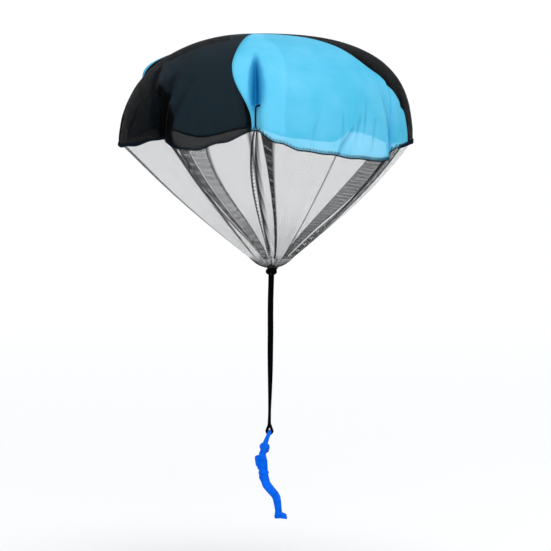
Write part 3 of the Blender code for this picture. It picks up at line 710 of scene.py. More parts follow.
def net_material(name, colour):
    """Tulle: two sets of crossing threads, more closely packed where the net is bunched."""
    thread_lean = 0.6
    settings = bpy.context.scene.parachute_net
    shading = Shading(name, {"Base Color": (*colour, 1.0), "Specular IOR Level": 0.1})
    across, along = shading.cloth_places()
    half_width = shading.bunch() * 0.16 + 0.5 * settings.thread_width / settings.mesh_pitch
    threads = []
    for lean in (thread_lean, -thread_lean):
        place = ((across + along * lean) / settings.mesh_pitch).math("FRACT")
        threads.append((place - 0.5).math("ABSOLUTE").math("LESS_THAN", half_width))
    shading.feed("Alpha", threads[0].math("MAXIMUM", threads[1]) * 0.96)
    shading.feed("Roughness", 0.65 + shading.noise(900.0, 2.0) * 0.25)
    return shading.material


def thread_material(name, colour):
    """Twisted sewing thread with a fine fuzz."""
    shading = Shading(name, {"Specular IOR Level": 0.05})
    fuzz = shading.noise(1400.0, 3.0)
    shading.feed("Base Color", shading.mix(fuzz, tinted(colour, 0.7), tinted(colour, 1.4)))
    shading.feed("Roughness", 0.6 + fuzz * 0.3)
    shading.bump(fuzz, 0.0001, 0.6)
    return shading.material


def cord_material(name, colour):
    """Braided cord: two crossing sets of strands along its own map."""
    strands_around, braid_pitch = 4.0, 0.0016
    shading = Shading(name, {"Specular IOR Level": 0.01})
    across, along = shading.cloth_places()
    strands = [(across * strands_around + along * (hand / braid_pitch)).wave(1.0) for hand in (1.0, -1.0)]
    braid = strands[0].math("MAXIMUM", strands[1])
    fuzz = shading.noise(1600.0, 2.0)
    shade = shading.mix(braid * 0.35 + fuzz * 0.5, tinted(colour, 0.6), tinted(colour, 1.6))
    shading.feed("Base Color", shade)
    shading.feed("Roughness", 0.65 + fuzz * 0.2)
    shading.bump(braid + fuzz * 0.3, 0.00012, 0.7)
    return shading.material


def plastic_material(name, colour):
    """Moulded soft plastic: painted shade and light in random spots, faint flow marks and fine grain."""
    shading = Shading(name, {"Specular IOR Level": 0.03})
    flow = shading.noise(60.0, 3.0)
    # Painted shade and light: random spots that darken and lighten the plastic
    shade = ((shading.noise(190.0, 2.0) - 0.5) * 2.0 + flow).limited()
    shading.feed("Base Color", shading.mix(shade, tinted(colour, 0.72), tinted(colour, 1.14)))
    shading.feed("Roughness", 0.40 + flow * 0.14)
    shading.bump(shading.noise(2600.0, 2.0), 0.00005, 0.35)
    return shading.material


def finish(slot):
    """The material of one of the record's slots, made when it is first asked for."""
    name = slot + "_finish"
    if name in bpy.data.materials:
        return bpy.data.materials[name]
    colours = bpy.context.scene.parachute_colours
    colour = tuple(getattr(colours, slot))
    if slot == "blue_cloth":
        # pale is the colour of the painted sheen, and the third colour is the painted shade of the folds
        pale = tuple(blend(channel, 1.0, 0.08) for channel in colour)
        return cloth_material(name, colour, pale, tuple(colours.blue_fold_shade), colours.blue_cover, 0.20)
    if slot == "black_cloth":
        # The black cloth's painted sheen is 1.3 times as light and its painted fold shade 0.4 times as dark
        pale, deep = tinted(colour, 1.3), tinted(colour, 0.4)
        return cloth_material(name, colour, pale, deep, colours.black_cover, 0.02)
    makers = {
        "net": net_material,
        "cord": cord_material,
        "jumper": plastic_material,
        "thread": thread_material,
    }
    return makers[slot](name, colour)


def dress(piece, body, slot, nodes=()):
    """Gives a piece the material of its slot and its body, and hides the nodes that it stands for."""
    piece.data.materials.clear()
    piece.data.materials.append(finish(slot))
    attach(piece, body)
    if nodes:
        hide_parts(*nodes)
    return piece


def add_piece(name, bm):
    """Turns a bmesh into a smooth object of the scene."""
    mesh = bpy.data.meshes.new(name)
    bm.to_mesh(mesh)
    bm.free()
    mesh.shade_smooth()
    piece = bpy.data.objects.new(name, mesh)
    bpy.context.scene.collection.objects.link(piece)
    return piece


def thicken(piece, thickness, offset):
    """Gives a sheet its thickness. offset is 1 for outwards and 0 for both ways."""
    wall = piece.modifiers.new("cloth thickness", "SOLIDIFY")
    wall.thickness = thickness
    wall.offset = offset


def cloth_grid(rows, columns, place, cloth_place, bunch=None):
    """A grid moved to place(row, column), with a cloth map in metres and how bunched the cloth is, which on
    the canopy's gores is the painted shade of their folds.
    """
    bm = bmesh.new()
    bmesh.ops.create_grid(bm, x_segments=columns, y_segments=rows, size=0.5)
    cloth = bm.loops.layers.uv.new("cloth")
    bunched = bm.verts.layers.float.new("bunch")
    spots = {}
    for vert in bm.verts:
        spot = (round((vert.co.y + 0.5) * rows), round((vert.co.x + 0.5) * columns))
        spots[vert] = spot
        vert[bunched] = bunch(*spot) if bunch else 0.0
    for face in bm.faces:
        for loop in face.loops:
            loop[cloth].uv = cloth_place(*spots[loop.vert])
    for vert, spot in spots.items():
        vert.co = place(*spot)
    bm.normal_update()
    return bm


def sheet_area(bm):
    """The area of a sheet's faces."""
    return sum(face.calc_area() for face in bm.faces)


def tube_rings(bm, path, radius, sides, closed):
    """Rings of a tube along a path, carried on without twist."""
    count = len(path)
    side = None
    rings = []
    for index, point in enumerate(path):
        after = path[(index + 1) % count] if closed or index < count - 1 else point
        before = path[index - 1] if closed or index else point
        along = (after - before).normalized()
        if side is None:
            side = along.orthogonal().normalized()
        side = (side - along * side.dot(along)).normalized()
        matrix = Matrix.Translation(point) @ Matrix((side, along.cross(side), along)).transposed().to_4x4()
        rings.append(bmesh.ops.create_circle(bm, segments=sides, radius=radius, matrix=matrix)["verts"])
    return rings


def tube_mesh(name, path, radius, sides=8, closed=False):
    """A round tube swept along a path, with a cloth map that runs along it."""
    bm = bmesh.new()
    cloth = bm.loops.layers.uv.new("cloth")
    rings = tube_rings(bm, path, radius, sides, closed)
    near = 0.0
    for low in range(len(path) if closed else len(path) - 1):
        high = (low + 1) % len(path)
        shift = 0
        if high == 0:
            gaps = [(vert.co - rings[low][0].co).length for vert in rings[0]]
            shift = gaps.index(min(gaps))
        far = near + (path[high] - path[low]).length
        for step in range(sides):
            face = bm.faces.new((
                rings[low][step], rings[low][(step + 1) % sides],
                rings[high][(step + 1 + shift) % sides], rings[high][(step + shift) % sides],
            ))
            left, right = step / sides, (step + 1) / sides
            for loop, spot in zip(face.loops, ((left, near), (right, near), (right, far), (left, far))):
                loop[cloth].uv = spot
        near = far
    if not closed:
        bmesh.ops.contextual_create(bm, geom=rings[0])
        bmesh.ops.contextual_create(bm, geom=rings[-1])
    bmesh.ops.recalc_face_normals(bm, faces=bm.faces)
    return add_piece(name, bm)


def append(bm, other):
    """Adds the shape of another bmesh and frees that one."""
    mesh = bpy.data.meshes.new("shape")
    other.to_mesh(mesh)
    other.free()
    bm.from_mesh(mesh)
    bpy.data.meshes.remove(mesh)


def add_ball(bm, matrix):
    """Adds a unit ball placed by a matrix. The ball is made once and copied."""
    unit = bpy.data.meshes.get("unit_ball")
    if unit is None:
        unit = bpy.data.meshes.new("unit_ball")
        ball = bmesh.new()
        bmesh.ops.create_uvsphere(ball, u_segments=24, v_segments=14, radius=1.0)
        ball.to_mesh(unit)
        ball.free()
    mesh = unit.copy()
    mesh.transform(matrix)
    bm.from_mesh(mesh)
    bpy.data.meshes.remove(mesh)


def smooth_route(points, step):
    """Points about a step apart along a smooth curve through the route's own points."""
    path = [Vector(point) for point in points]
    ends = [path[0] * 2.0 - path[1]] + path + [path[-1] * 2.0 - path[-2]]
    curve = []
    for index in range(1, len(ends) - 2):
        before, start, end, after = ends[index - 1 : index + 3]
        pieces = max(1, round((end - start).length / step))
        handle_out = start + (end - before) / 6.0
        handle_in = end - (after - start) / 6.0
        curve += interpolate_bezier(start, handle_out, handle_in, end, pieces + 1)[:-1]
    return curve + [path[-1]]


class CanopySettings(bpy.types.PropertyGroup):
    """Sizes of the cloth."""

    columns: bpy.props.IntProperty(name="Columns", description="Faces across one gore", default=150, min=12)
    rows: bpy.props.IntProperty(name="Rows", description="Faces from crown to rim", default=100, min=8)
    wrinkle_depth: bpy.props.FloatProperty(
        name="Wrinkle depth", description="How uneven the cloth is", default=0.0009, unit="LENGTH"
    )
    stitch_pitch: bpy.props.FloatProperty(
        name="Stitch pitch", description="Length of one stitch at the rim", default=0.0034, unit="LENGTH"
    )


class NetSettings(bpy.types.PropertyGroup):
    """Sizes of the net."""

    mesh_pitch: bpy.props.FloatProperty(
        name="Mesh pitch", description="From one thread to the next", default=0.0016, unit="LENGTH"
    )
    thread_width: bpy.props.FloatProperty(
        name="Thread width", description="Width of a net thread", default=0.00017, unit="LENGTH"
    )
    rows: bpy.props.IntProperty(name="Rows", description="Faces from rim to foot", default=64, min=8)
    flutes: bpy.props.IntProperty(name="Flutes", description="Flutes of the gathered end", default=22, min=6)


class ColourSettings(bpy.types.PropertyGroup):
    """Colours of the cloth, threads and plastic, the painted shade of the blue cloth's folds, and how much
    the cloth hides.
    """

    blue_cloth: bpy.props.FloatVectorProperty(
        name="Blue cloth", description="Colour of the blue gores", subtype="COLOR",
        default=(0.078, 0.655, 0.96),
    )
    # Painted shade: the colour that the blue cloth is darkened to inside its deep folds
    blue_fold_shade: bpy.props.FloatVectorProperty(
        name="Blue fold", description="Colour of the blue cloth inside its deep folds", subtype="COLOR",
        default=(0.001, 0.19, 0.46),
    )
    black_cloth: bpy.props.FloatVectorProperty(
        name="Black cloth", description="Colour of the black gores", subtype="COLOR",
        default=(0.0016, 0.0022, 0.0030),
    )
    net: bpy.props.FloatVectorProperty(
        name="Net", description="Colour of the net's threads", subtype="COLOR", default=(0.016, 0.016, 0.018)
    )
    thread: bpy.props.FloatVectorProperty(
        name="Thread", description="Colour of the stitching", subtype="COLOR", default=(0.004, 0.010, 0.020)
    )
    cord: bpy.props.FloatVectorProperty(
        name="Cord", description="Colour of the cord", subtype="COLOR", default=(0.0020, 0.0020, 0.0022)
    )
    jumper: bpy.props.FloatVectorProperty(
        name="Jumper", description="Colour of the moulded figure", subtype="COLOR",
        default=(0.0012, 0.135, 0.84),
    )
    blue_cover: bpy.props.FloatProperty(
        name="Blue cover", description="How much one face of the blue cloth hides", default=0.59,
        subtype="FACTOR",
    )
    black_cover: bpy.props.FloatProperty(
        name="Black cover", description="How much one face of the black cloth hides", default=0.79,
        subtype="FACTOR",
    )


class PARACHUTE_OT_canopy(bpy.types.Operator):
    """Makes the four gores as thin cloth, from the crown to the rim"""

    bl_idname = "parachute.canopy"
    bl_label = "Canopy gores"

    def execute(self, context):
        settings = context.scene.parachute_canopy
        start = crown_fall()
        falls = [blend(start, 1.0, row / settings.rows) for row in range(settings.rows + 1)]
        drops = [0.0] * len(falls) + [HEM_DROP * share for share in HEM_SHARES]
        falls += [1.0] * len(HEM_SHARES)
        for gore in GORES:
            self.make_gore(gore, settings.columns, falls, drops)
        return {"FINISHED"}

    def make_gore(self, gore, columns, falls, drops):
        """One gore with its hem."""
        middles = [gore_angle(gore, fall, 0.5) for fall in falls]
        radii = [CANOPY_RADIUS * math.sin(0.5 * math.pi * fall) ** (2.0 / PROFILE_POWER) for fall in falls]

        def place(row, column):
            point = canopy_point(gore_angle(gore, falls[row], column / columns), falls[row])
            point.z -= drops[row]
            return point

        def cloth_place(row, column):
            turn = math.radians(gore_angle(gore, falls[row], column / columns) - middles[row])
            return (turn * radii[row], GORE_LENGTH * falls[row] + drops[row])

        # The painted shade of each point, stored with the cloth as its bunch
        def folded(row, column):
            return fold_shade_share(gore_angle(gore, falls[row], column / columns), falls[row])

        bm = cloth_grid(len(falls) - 1, columns, place, cloth_place, folded)
        area = sheet_area(bm)
        piece = add_piece(gore.replace("gore", "cloth"), bm)
        thicken(piece, CLOTH_THICKNESS, 1.0)
        dress(piece, "canopy", GORES[gore][2], [gore])
        rim = math.radians(gore_angle(gore, 1.0, 1.0) - gore_angle(gore, 1.0, 0.0)) * CANOPY_RADIUS


def net_point(angles, depth, share):
    """A point of the net. share runs from 0 at the rim to 1 at the gathered end."""
    rim, middle, foot_angle = angles
    angle = rim * (2.0 * share - 1.0) * (share - 1.0) + middle * 4.0 * share * (1.0 - share)
    angle += foot_angle * share * (2.0 * share - 1.0)
    away = outward(angle)
    top = canopy_point(angle, 1.0, False) - away * (NET_INSET + depth)
    top.z -= NET_START_DROP
    foot = Vector((NECK_X, 0.0, NET_FOOT_Z)) + away * (NET_FOOT_RADIUS - NET_FOOT_LAYER_SHARE * depth)
    ripple = noise.noise(Vector((away.x, -away.y, 0.15 * share)) * NET_RIPPLE_SCALE)
    side = max(away.x, 0.0) ** 2 * math.sin(math.pi * math.sqrt(share))
    bulge = (NET_BULGE + NET_RIPPLE * ripple) * math.sin(math.pi * share) + NET_SIDE_BULGE * side
    return blend(top, foot, share) + (away - Vector((0.0, 0.0, 1.0))) * bulge * math.sqrt(0.5)


def net_columns(start, end, folds):
    """Each column of a length of net: its angles, its depth and how bunched it is.

    Over a fold the net runs forward, back and forward again, with a dark crease at both turns.
    """
    stops = [(start, 0.0, 0.0)]

    def run(goal, depth, bunch, creased):
        origin, last_depth, _bunch = stops[-1]
        turn = abs(goal[0] - origin[0])
        steps = max(2, round(turn / NET_STEP))
        shares = [(step / steps,) * 3 for step in range(1, steps)]
        if creased:
            edge = min(NET_CREASE_WIDTH / (math.radians(turn) * CANOPY_RADIUS), NET_CREASE_LIMITS[0])
            wide = tuple(min(edge * growth, NET_CREASE_LIMITS[1]) for growth in NET_CREASE_GROWTH)
            shares = [wide] + [spot for spot in shares if wide[2] < spot[0] < 1.0 - wide[2]]
            shares.append(tuple(1.0 - share for share in wide))
        for spot in shares:
            place = tuple(blend(first, last, share) for first, last, share in zip(origin, goal, spot))
            stops.append((place, blend(last_depth, depth, spot[0]), bunch))
        stops.append((goal, depth, NET_CREASE_BUNCH if creased else bunch))

    for low, high, bunch in folds:
        run(low, 0.0, 0.0, False)
        for layer, goal in enumerate((high, low, high), 1):
            run(goal, NET_LAYER * layer, bunch, True)
    run(end, 0.0, 0.0, False)
    return stops


class PARACHUTE_OT_net(bpy.types.Operator):
    """Makes the net skirt, one folded length from pleat to pleat, and its loose threads"""

    bl_idname = "parachute.net"
    bl_label = "Net skirt"

    def execute(self, context):
        names = list(NET_STARTS)
        for start, end in zip(names, names[1:] + names[:1]):
            self.make_length(context.scene.parachute_net.rows, start, end)
        for number, (angle, out, down) in enumerate(LOOSE_THREADS):
            start = net_point((angle, angle, angle), 0.0, 0.01)
            away = outward(angle) * out
            low = start + away - Vector((0.0, 0.0, down))
            route = smooth_route((start, blend(start, low, 0.5) + away * 0.5, low), 0.001)
            dress(tube_mesh("loose_thread_%d" % number, route, LOOSE_THREAD_RADIUS, 5), "canopy", "net")
        return {"FINISHED"}

    def make_length(self, rows, start, end):
        """One length of net."""
        first = NET_STARTS[start]
        full = 360.0 if NET_STARTS[end][0] < first[0] else 0.0
        stops = net_columns(first, tuple(angle + full for angle in NET_STARTS[end]), NET_FOLDS[start])
        widths = [0.0]
        for (angles, *_), (after, *_) in zip(stops, stops[1:]):
            widths.append(widths[-1] + abs(math.radians(after[0] - angles[0])) * CANOPY_RADIUS)

        def place(row, column):
            angles, depth, _bunch = stops[column]
            return net_point(angles, depth, row / rows)

        def cloth_place(row, column):
            narrowed = blend(1.0, NET_FOOT_RADIUS / CANOPY_RADIUS, row / rows)
            return (widths[column] * narrowed, NET_SLANT * row / rows)

        def bunch_at(row, column):
            angles, _depth, bunch = stops[column]
            facing = smooth_step(1.0 - abs(around(angles[2] - NET_FACING_ANGLE)) / NET_FACING_SPREAD)
            low = smooth_step((row / rows - NET_BUNCH_START) / (1.0 - NET_BUNCH_START))
            return bunch + (NET_FOOT_BUNCH + NET_FACING_BUNCH * facing) * low

        bm = cloth_grid(rows, len(stops) - 1, place, cloth_place, bunch_at)
        area = max(sheet_area(bm), NET_LEAST_AREA_SHARE * widths[-1] * NET_SLANT)
        piece = dress(add_piece("tulle_" + start, bm), "canopy", "net", ["net_" + start])


class PARACHUTE_OT_gather(bpy.types.Operator):
    """Makes the net's drawn-together end, a pleated funnel that runs into the knot"""

    bl_idname = "parachute.gather"
    bl_label = "Gathered net"

    def execute(self, context):
        flutes = context.scene.parachute_net.flutes
        columns = flutes * FLUTE_COLUMNS
        rows = (len(GATHER) - 1) * GATHER_ROWS

        def station(row):
            low = min(row // GATHER_ROWS, len(GATHER) - 2)
            share = row / GATHER_ROWS - low
            return [blend(first, last, share) for first, last in zip(GATHER[low], GATHER[low + 1])]

        def place(row, column):
            height, radius, flute_share, _bunch = station(row)
            turn = 2.0 * math.pi * column / columns
            wobble = 1.0 + 0.35 * math.sin(3.0 * turn + 1.0) + 0.2 * math.sin(7.0 * turn)
            reach = radius * (1.0 - abs(math.sin(0.5 * flutes * turn)) * flute_share * wobble)
            return outward(math.degrees(turn)) * reach + Vector((NECK_X, 0.0, height))

        def cloth_place(row, column):
            return (2.0 * math.pi * column / columns * station(row)[1], GATHER_ROW_LENGTH * row)

        def bunch_at(row, column):
            valley = 1.0 - abs(math.sin(math.pi * flutes * column / columns))
            return station(row)[3] * (0.75 + 1.4 * valley ** 3)

        bm = cloth_grid(rows, columns, place, cloth_place, bunch_at)
        bmesh.ops.remove_doubles(bm, verts=bm.verts, dist=0.000001)
        area = sheet_area(bm)
        piece = dress(add_piece("gathered_net", bm), "canopy", "net", ["net_gather"])
        width = 2.0 * math.pi * GATHER[0][1]
        FUNNEL_LENGTH_SHARE * area / width
        return {"FINISHED"}


class PARACHUTE_OT_seams(bpy.types.Operator):
    """Makes the seam allowances inside and the stitches that show along each seam"""

    bl_idname = "parachute.seams"
    bl_label = "Seams"

    def execute(self, _context):
        for seam in SEAMS:
            self.make_allowance(seam)
            self.make_stitches(seam)
        return {"FINISHED"}

    def make_allowance(self, seam):
        """The turned-in cloth edge, slightly waved."""
        falls = [blend(*ALLOWANCE_FALLS, row / ALLOWANCE_ROWS) for row in range(ALLOWANCE_ROWS + 1)]

        def place(row, column):
            angle = seam_angle(seam, falls[row])
            share = column / ALLOWANCE_COLUMNS
            depth = ALLOWANCE_DEPTH + ALLOWANCE_WIDTH * share
            point = canopy_point(angle, falls[row]) + canopy_inward(angle, falls[row]) * depth
            return point + outward(angle + 90.0) * ALLOWANCE_WAVE * math.sin(row * 0.9) * share

        def cloth_place(row, column):
            return (0.00125 * column, 0.0022 * row)

        bm = cloth_grid(ALLOWANCE_ROWS, ALLOWANCE_COLUMNS, place, cloth_place)
        piece = add_piece("allowance_" + seam, bm)
        thicken(piece, ALLOWANCE_THICKNESS, 0.0)
        dress(piece, "canopy", "thread", ["seam_" + seam])

    def make_stitches(self, seam):
        """Short stitches pressed into the cloth just beside the seam."""
        bm = bmesh.new()
        size = Matrix.Diagonal(STITCH_RADII).to_4x4()
        offset = math.degrees(STITCH_OFFSET / CANOPY_RADIUS)
        for number in range(STITCH_COUNT):
            fall = blend(*STITCH_FALLS, (number + 0.5) / STITCH_COUNT)
            angle = seam_angle(seam, fall) + offset / max(math.sin(0.5 * math.pi * fall), 0.2)
            start = canopy_point(angle, fall - STITCH_REACH)
            end = canopy_point(angle, fall + STITCH_REACH)
            along = (end - start).normalized()
            lift = -canopy_inward(angle, fall)
            matrix = Matrix((lift.cross(along).normalized(), along, lift)).transposed().to_4x4()
            matrix.translation = (start + end) / 2.0 + lift * STITCH_LIFT
            add_ball(bm, matrix @ size)
        dress(add_piece("stitches_" + seam, bm), "canopy", "thread")


class PARACHUTE_OT_rim(bpy.types.Operator):
    """Makes the stitched rim: a rolled edge, the zigzag thread over it and the closed front pleat"""

    bl_idname = "parachute.rim"
    bl_label = "Stitched rim"

    def execute(self, context):
        for gore in GORES:
            self.make_roll(gore)
            self.make_zigzag(gore, context.scene.parachute_canopy.stitch_pitch)
        self.close_pleat()
        return {"FINISHED"}

    def make_roll(self, gore):
        """The rolled edge of one gore."""
        path = []
        for step in range(ROLL_STEPS + 1):
            angle = gore_angle(gore, 1.0, blend(0.002, 0.998, step / ROLL_STEPS))
            point = canopy_point(angle, 1.0) + canopy_inward(angle, 1.0) * ROLL_INSET
            point.z -= ROLL_DROP + ROLL_WAVE * math.sin(step * 1.3)
            path.append(point)
        edge = tube_mesh(gore.replace("gore", "rolled_edge"), path, ROLL_RADIUS, 8)
        dress(edge, "canopy", "thread", [gore.replace("gore", "rim_edge")])

    def make_zigzag(self, gore, pitch):
        """The thread that crosses the rolled edge, once up and once down in each stitch."""
        start = gore_angle(gore, 1.0, 0.0)
        span = gore_angle(gore, 1.0, 1.0) - start
        turns = 2 * round(math.radians(span) * CANOPY_RADIUS / pitch)
        path = []
        for number in range(turns + 1):
            angle = start + span * number / turns
            lift = -canopy_inward(angle, 1.0)
            if number % 2:
                point = canopy_point(angle, ZIGZAG_TOP_FALL) + lift * ZIGZAG_TOP_LIFT
            else:
                point = canopy_point(angle, 1.0) + lift * ZIGZAG_LOW_LIFT
                point.z -= ZIGZAG_DROP
            path.append(point)
        dress(tube_mesh(gore.replace("gore", "zigzag"), path, ZIGZAG_RADIUS, 6), "canopy", "thread")

    def close_pleat(self):
        """The thread that holds the front pleat shut above the rim, with a small hook at its top."""
        path = []
        for step in range(CLOSING_STEPS + 1):
            fall = blend(*CLOSING_FALLS, step / CLOSING_STEPS)
            hook = HOOK_ANGLE * smooth_step((HOOK_FALL - fall) / HOOK_LENGTH)
            point = canopy_point(PLEATS["front"][0] + hook, fall)
            point.y -= CLOSING_LIFT
            path.append(point)
        dress(tube_mesh("pleat_stitch", path, CLOSING_RADIUS, 8), "canopy", "thread")


class PARACHUTE_OT_knot(bpy.types.Operator):
    """Makes the overhand knot and its short tail"""

    bl_idname = "parachute.knot"
    bl_label = "Knot"

    def execute(self, _context):
        middle = Vector((NECK_X, 0.0, KNOT_Z))
        unit = (KNOT_RADIUS - 0.5 * KNOT_STRAND) / 3.0
        points = []
        for index in range(KNOT_POINTS):
            turn = 2.0 * math.pi * index / KNOT_POINTS
            side = math.sin(turn) + 2.0 * math.sin(2.0 * turn)
            up = 2.0 * math.cos(2.0 * turn) - math.cos(turn)
            points.append(middle + Vector((side, KNOT_SPREAD * math.sin(3.0 * turn), up)) * unit)
        knot = tube_mesh("overhand_knot", points, 0.5 * KNOT_STRAND * KNOT_FULLNESS, 14, closed=True)
        dress(knot, "knot", "cord", ["cord_knot"])
        tail = smooth_route([middle + Vector(step) for step in KNOT_TAIL], 0.0004)
        dress(tube_mesh("knot_tail", tail, KNOT_TAIL_RADIUS, 12), "knot", "cord")
        return {"FINISHED"}


class PARACHUTE_OT_cord(bpy.types.Operator):
    """Makes the doubled cord, as one length from the knot through the hands and back"""

    bl_idname = "parachute.cord"
    bl_label = "Doubled cord"

    def execute(self, _context):
        path = smooth_route(CORD_ROUTE, CORD_STEP)
        piece = tube_mesh("tether_cord", path, CORD_FULLNESS * CORD_DIAMETER, 14)
        piece.data.materials.append(finish("cord"))
        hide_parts("tether_strand_down", "tether_strand_up", "hand_loop")
        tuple(CORD_TWISTS[0])
        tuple(CORD_TWISTS[1])
        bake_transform(piece)
        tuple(CORD_ROUTE[0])
        return {"FINISHED"}


def jumper_place(forward, side, down):
    """A point of the jumper, from shares of its reach."""
    top = HAND_BAR.z + HAND_BAR_RADIUS
    return Vector((HAND_BAR.x + forward * JUMPER_REACH, side * JUMPER_REACH, top - down * JUMPER_REACH))


def mirrored(rows):
    """The rows as they are, and once more on the other side where they lie off the middle."""
    yield rows
    if any(row[1] for row in rows):
        yield [(row[0], -row[1], *row[2:]) for row in rows]


class PARACHUTE_OT_jumper(bpy.types.Operator):
    """Makes the moulded jumper: helmet, pack, harness, raised arms, bent knees and boots"""

    bl_idname = "parachute.jumper"
    bl_label = "Jumper"

    def execute(self, _context):
        bm = bmesh.new()
        for egg in EGGS.values():
            for row in mirrored([egg]):
                self.egg(bm, *row[0])
        for block in BLOCKS.values():
            for row in mirrored([block]):
                self.block(bm, *row[0])
        for stations in (*LIMBS.values(), self.thigh_strap()):
            for rows in mirrored(stations):
                self.limb(bm, rows)
        forward, side, down = HAND_BAR_PLACE
        ends = jumper_place(forward, -side, down), jumper_place(forward, side, down)
        self.rod(bm, *ends, HAND_BAR_RADIUS, HAND_BAR_RADIUS)
        piece = add_piece("moulded_jumper", bm)
        self.fuse(piece)
        dress(piece, "figure", "jumper", ["jumper"])
        return {"FINISHED"}

    def egg(self, bm, forward, side, down, depth, width, height, turn):
        """An egg shape, turned about the side axis."""
        size = Matrix.Diagonal([radius * JUMPER_REACH for radius in (depth, width, height)]).to_4x4()
        place = Matrix.Translation(jumper_place(forward, side, down))
        add_ball(bm, place @ Matrix.Rotation(math.radians(turn), 4, "Y") @ size)

    def block(self, bm, forward, side, down, depth, width, height, rounding, turn):
        """A rounded block, turned about the side axis."""
        box = bmesh.new()
        bmesh.ops.create_cube(box, size=1.0)
        size = [length * JUMPER_REACH for length in (depth, width, height)]
        bmesh.ops.scale(box, vec=size, verts=box.verts)
        bmesh.ops.bevel(
            box, geom=box.edges[:], offset=rounding * JUMPER_REACH, segments=4, profile=0.5, affect="EDGES",
            material=-1,
        )
        bmesh.ops.rotate(box, matrix=Matrix.Rotation(math.radians(turn), 3, "Y"), verts=box.verts)
        bmesh.ops.translate(box, vec=jumper_place(forward, side, down), verts=box.verts)
        append(bm, box)

    def rod(self, bm, start, end, radius, end_radius):
        """A tapered rod with round ends."""
        along = end - start
        turn = along.to_track_quat("Z", "Y").to_matrix().to_4x4()
        bmesh.ops.create_cone(
            bm, cap_ends=True, segments=24, radius1=radius, radius2=end_radius, depth=along.length,
            matrix=Matrix.Translation((start + end) / 2.0) @ turn,
        )
        for place, size in ((start, radius), (end, end_radius)):
            add_ball(bm, Matrix.Translation(place) @ Matrix.Scale(size, 4))

    def limb(self, bm, stations):
        """A chain of tapered rods."""
        for (*start, radius), (*end, end_radius) in zip(stations, stations[1:]):
            sizes = radius * JUMPER_REACH, end_radius * JUMPER_REACH
            self.rod(bm, jumper_place(*start), jumper_place(*end), *sizes)

    def thigh_strap(self):
        """The stations of the strap round one thigh."""
        middle, half = THIGH_RING
        stations = []
        for step in range(THIGH_STRAP_STEPS + 1):
            turn = 2.0 * math.pi * step / THIGH_STRAP_STEPS
            swing = (math.cos(turn), math.sin(turn), math.cos(turn))
            place = [centre + reach * share for centre, reach, share in zip(middle, half, swing)]
            stations.append((*place, THIGH_STRAP_RADIUS))
        return stations

    def fuse(self, piece):
        """Melts the overlapping shapes into one moulding."""
        remesh = piece.modifiers.new("one moulding", "REMESH")
        remesh.mode = "VOXEL"
        remesh.voxel_size = MOULDING_GRAIN
        remesh.use_smooth_shade = True
        soften = piece.modifiers.new("soft edges", "SMOOTH")
        soften.factor = 0.5
        soften.iterations = 3
        bpy.context.view_layer.update()
        graph = bpy.context.evaluated_depsgraph_get()
        mesh = bpy.data.meshes.new_from_object(piece.evaluated_get(graph))
        piece.modifiers.clear()
        piece.data = mesh
        mesh.shade_smooth()


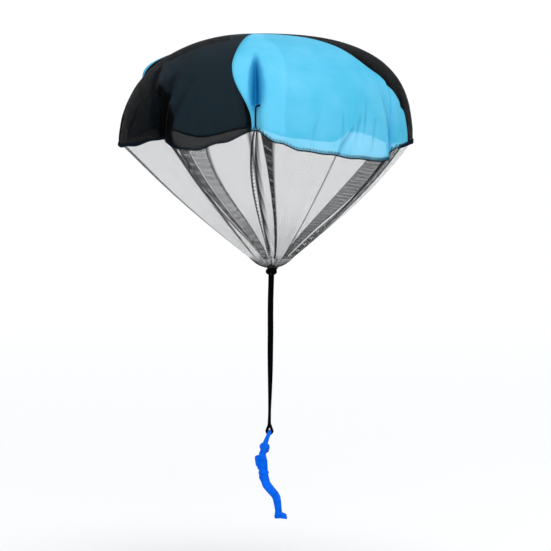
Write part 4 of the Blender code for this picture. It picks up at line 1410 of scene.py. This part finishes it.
class PARACHUTE_OT_stage(bpy.types.Operator):
    """Makes the pale floor, the soft lights and the camera"""

    bl_idname = "parachute.stage"
    bl_label = "Stage"

    def execute(self, context):
        self.make_floor()
        self.make_world(context.scene)
        for name, (place, size, power) in LAMPS.items():
            self.make_light(name, place, size, power)
        self.make_camera(context.scene)
        context.scene.view_settings.view_transform = "Standard"
        return {"FINISHED"}

    def make_floor(self):
        """A floor that shows white to the camera and keeps shadows."""
        bm = bmesh.new()
        bmesh.ops.create_circle(bm, cap_ends=True, segments=96, radius=FLOOR_RADIUS)
        bmesh.ops.translate(bm, vec=(0.0, 0.0, CAD_BOX[0][2] - FLOOR_DROP), verts=bm.verts)
        floor = add_piece("floor", bm)
        constants = {"Base Color": (0.80, 0.80, 0.80, 1.0), "Roughness": 0.9, "Emission Strength": 1.0}
        shading = Shading("floor_finish", constants)
        settings, values = {"operation": "LENGTH"}, {0: shading.place()}
        far = shading.node("ShaderNodeVectorMath", settings, values, output="Value")
        rise = shading.node("ShaderNodeMapRange", values={"Value": far, "From Min": 0.6, "From Max": 3.5})
        shading.feed("Emission Color", shading.seen() * (rise * 0.16 + 0.13))
        floor.data.materials.append(shading.material)

    def make_world(self, scene):
        """Even soft light, with a white backdrop."""
        world = bpy.data.worlds.new("studio")
        world.use_nodes = True
        nodes = Nodes(world.node_tree)
        nodes.tree.nodes.remove(nodes.tree.nodes["Background"])
        soft = nodes.node("ShaderNodeBackground", values={"Color": (0.96, 0.98, 1.0, 1.0), "Strength": 0.90})
        white = nodes.node("ShaderNodeBackground", values={"Color": (1.0, 1.0, 1.0, 1.0), "Strength": 1.0})
        both = nodes.node("ShaderNodeMixShader", values={0: nodes.seen(), 1: soft, 2: white})
        nodes.tree.links.new(both.socket, nodes.tree.nodes["World Output"].inputs["Surface"])
        scene.world = world

    def make_light(self, name, place, size, power):
        """A soft square light that points at the toy."""
        light = bpy.data.lights.new(name, "AREA")
        light.size = size
        light.energy = power
        lamp = bpy.data.objects.new(name, light)
        lamp.location = place
        lamp.rotation_euler = (LAMP_AIM - Vector(place)).to_track_quat("-Z", "Y").to_euler()
        bpy.context.scene.collection.objects.link(lamp)

    def make_camera(self, scene):
        """A long lens a little above the toy's middle."""
        elevation = math.radians(CAMERA_ELEVATION)
        camera = bpy.data.objects.new("camera", bpy.data.cameras.new("camera"))
        camera.data.sensor_width = CAMERA_SENSOR
        camera.data.lens = CAMERA_SENSOR * CAMERA_DISTANCE / VIEW_WIDTH
        camera.data.clip_end = 200.0
        away = Vector((0.0, -math.cos(elevation), math.sin(elevation)))
        camera.location = CAMERA_AIM + away * CAMERA_DISTANCE
        camera.rotation_euler = (CAMERA_AIM - camera.location).to_track_quat("-Z", "Y").to_euler()
        scene.collection.objects.link(camera)
        scene.camera = camera


OPERATORS = (
    PARACHUTE_OT_stage,
    PARACHUTE_OT_cord,
    PARACHUTE_OT_knot,
    PARACHUTE_OT_canopy,
    PARACHUTE_OT_seams,
    PARACHUTE_OT_rim,
    PARACHUTE_OT_net,
    PARACHUTE_OT_gather,
    PARACHUTE_OT_jumper,
)
SETTINGS = {
    "parachute_canopy": CanopySettings,
    "parachute_net": NetSettings,
    "parachute_colours": ColourSettings,
}


class PARACHUTE_PT_sidebar(bpy.types.Panel):
    """Lists the parachute's pieces"""

    bl_idname = "PARACHUTE_PT_sidebar"
    bl_label = "Toy Parachute"
    bl_space_type = "VIEW_3D"
    bl_region_type = "UI"
    bl_category = "Parachute"

    def draw(self, context):
        for operator in OPERATORS:
            self.layout.operator(operator.bl_idname)
        for group in SETTINGS:
            settings = getattr(context.scene, group)
            for name in settings.bl_rna.properties.keys():
                if name not in ("rna_type", "name"):
                    self.layout.prop(settings, name)


def register():
    for name, group in SETTINGS.items():
        bpy.utils.register_class(group)
        setattr(bpy.types.Scene, name, bpy.props.PointerProperty(type=group))
    for operator in OPERATORS:
        bpy.utils.register_class(operator)
    bpy.utils.register_class(PARACHUTE_PT_sidebar)


def unregister():
    bpy.utils.unregister_class(PARACHUTE_PT_sidebar)
    for operator in reversed(OPERATORS):
        bpy.utils.unregister_class(operator)
    for name, group in SETTINGS.items():
        delattr(bpy.types.Scene, name)
        bpy.utils.unregister_class(group)


def main():
    register()
    for operator in OPERATORS:
        group, name = operator.bl_idname.split(".")
        getattr(getattr(bpy.ops, group), name)()


if __name__ == "__main__":
    main()
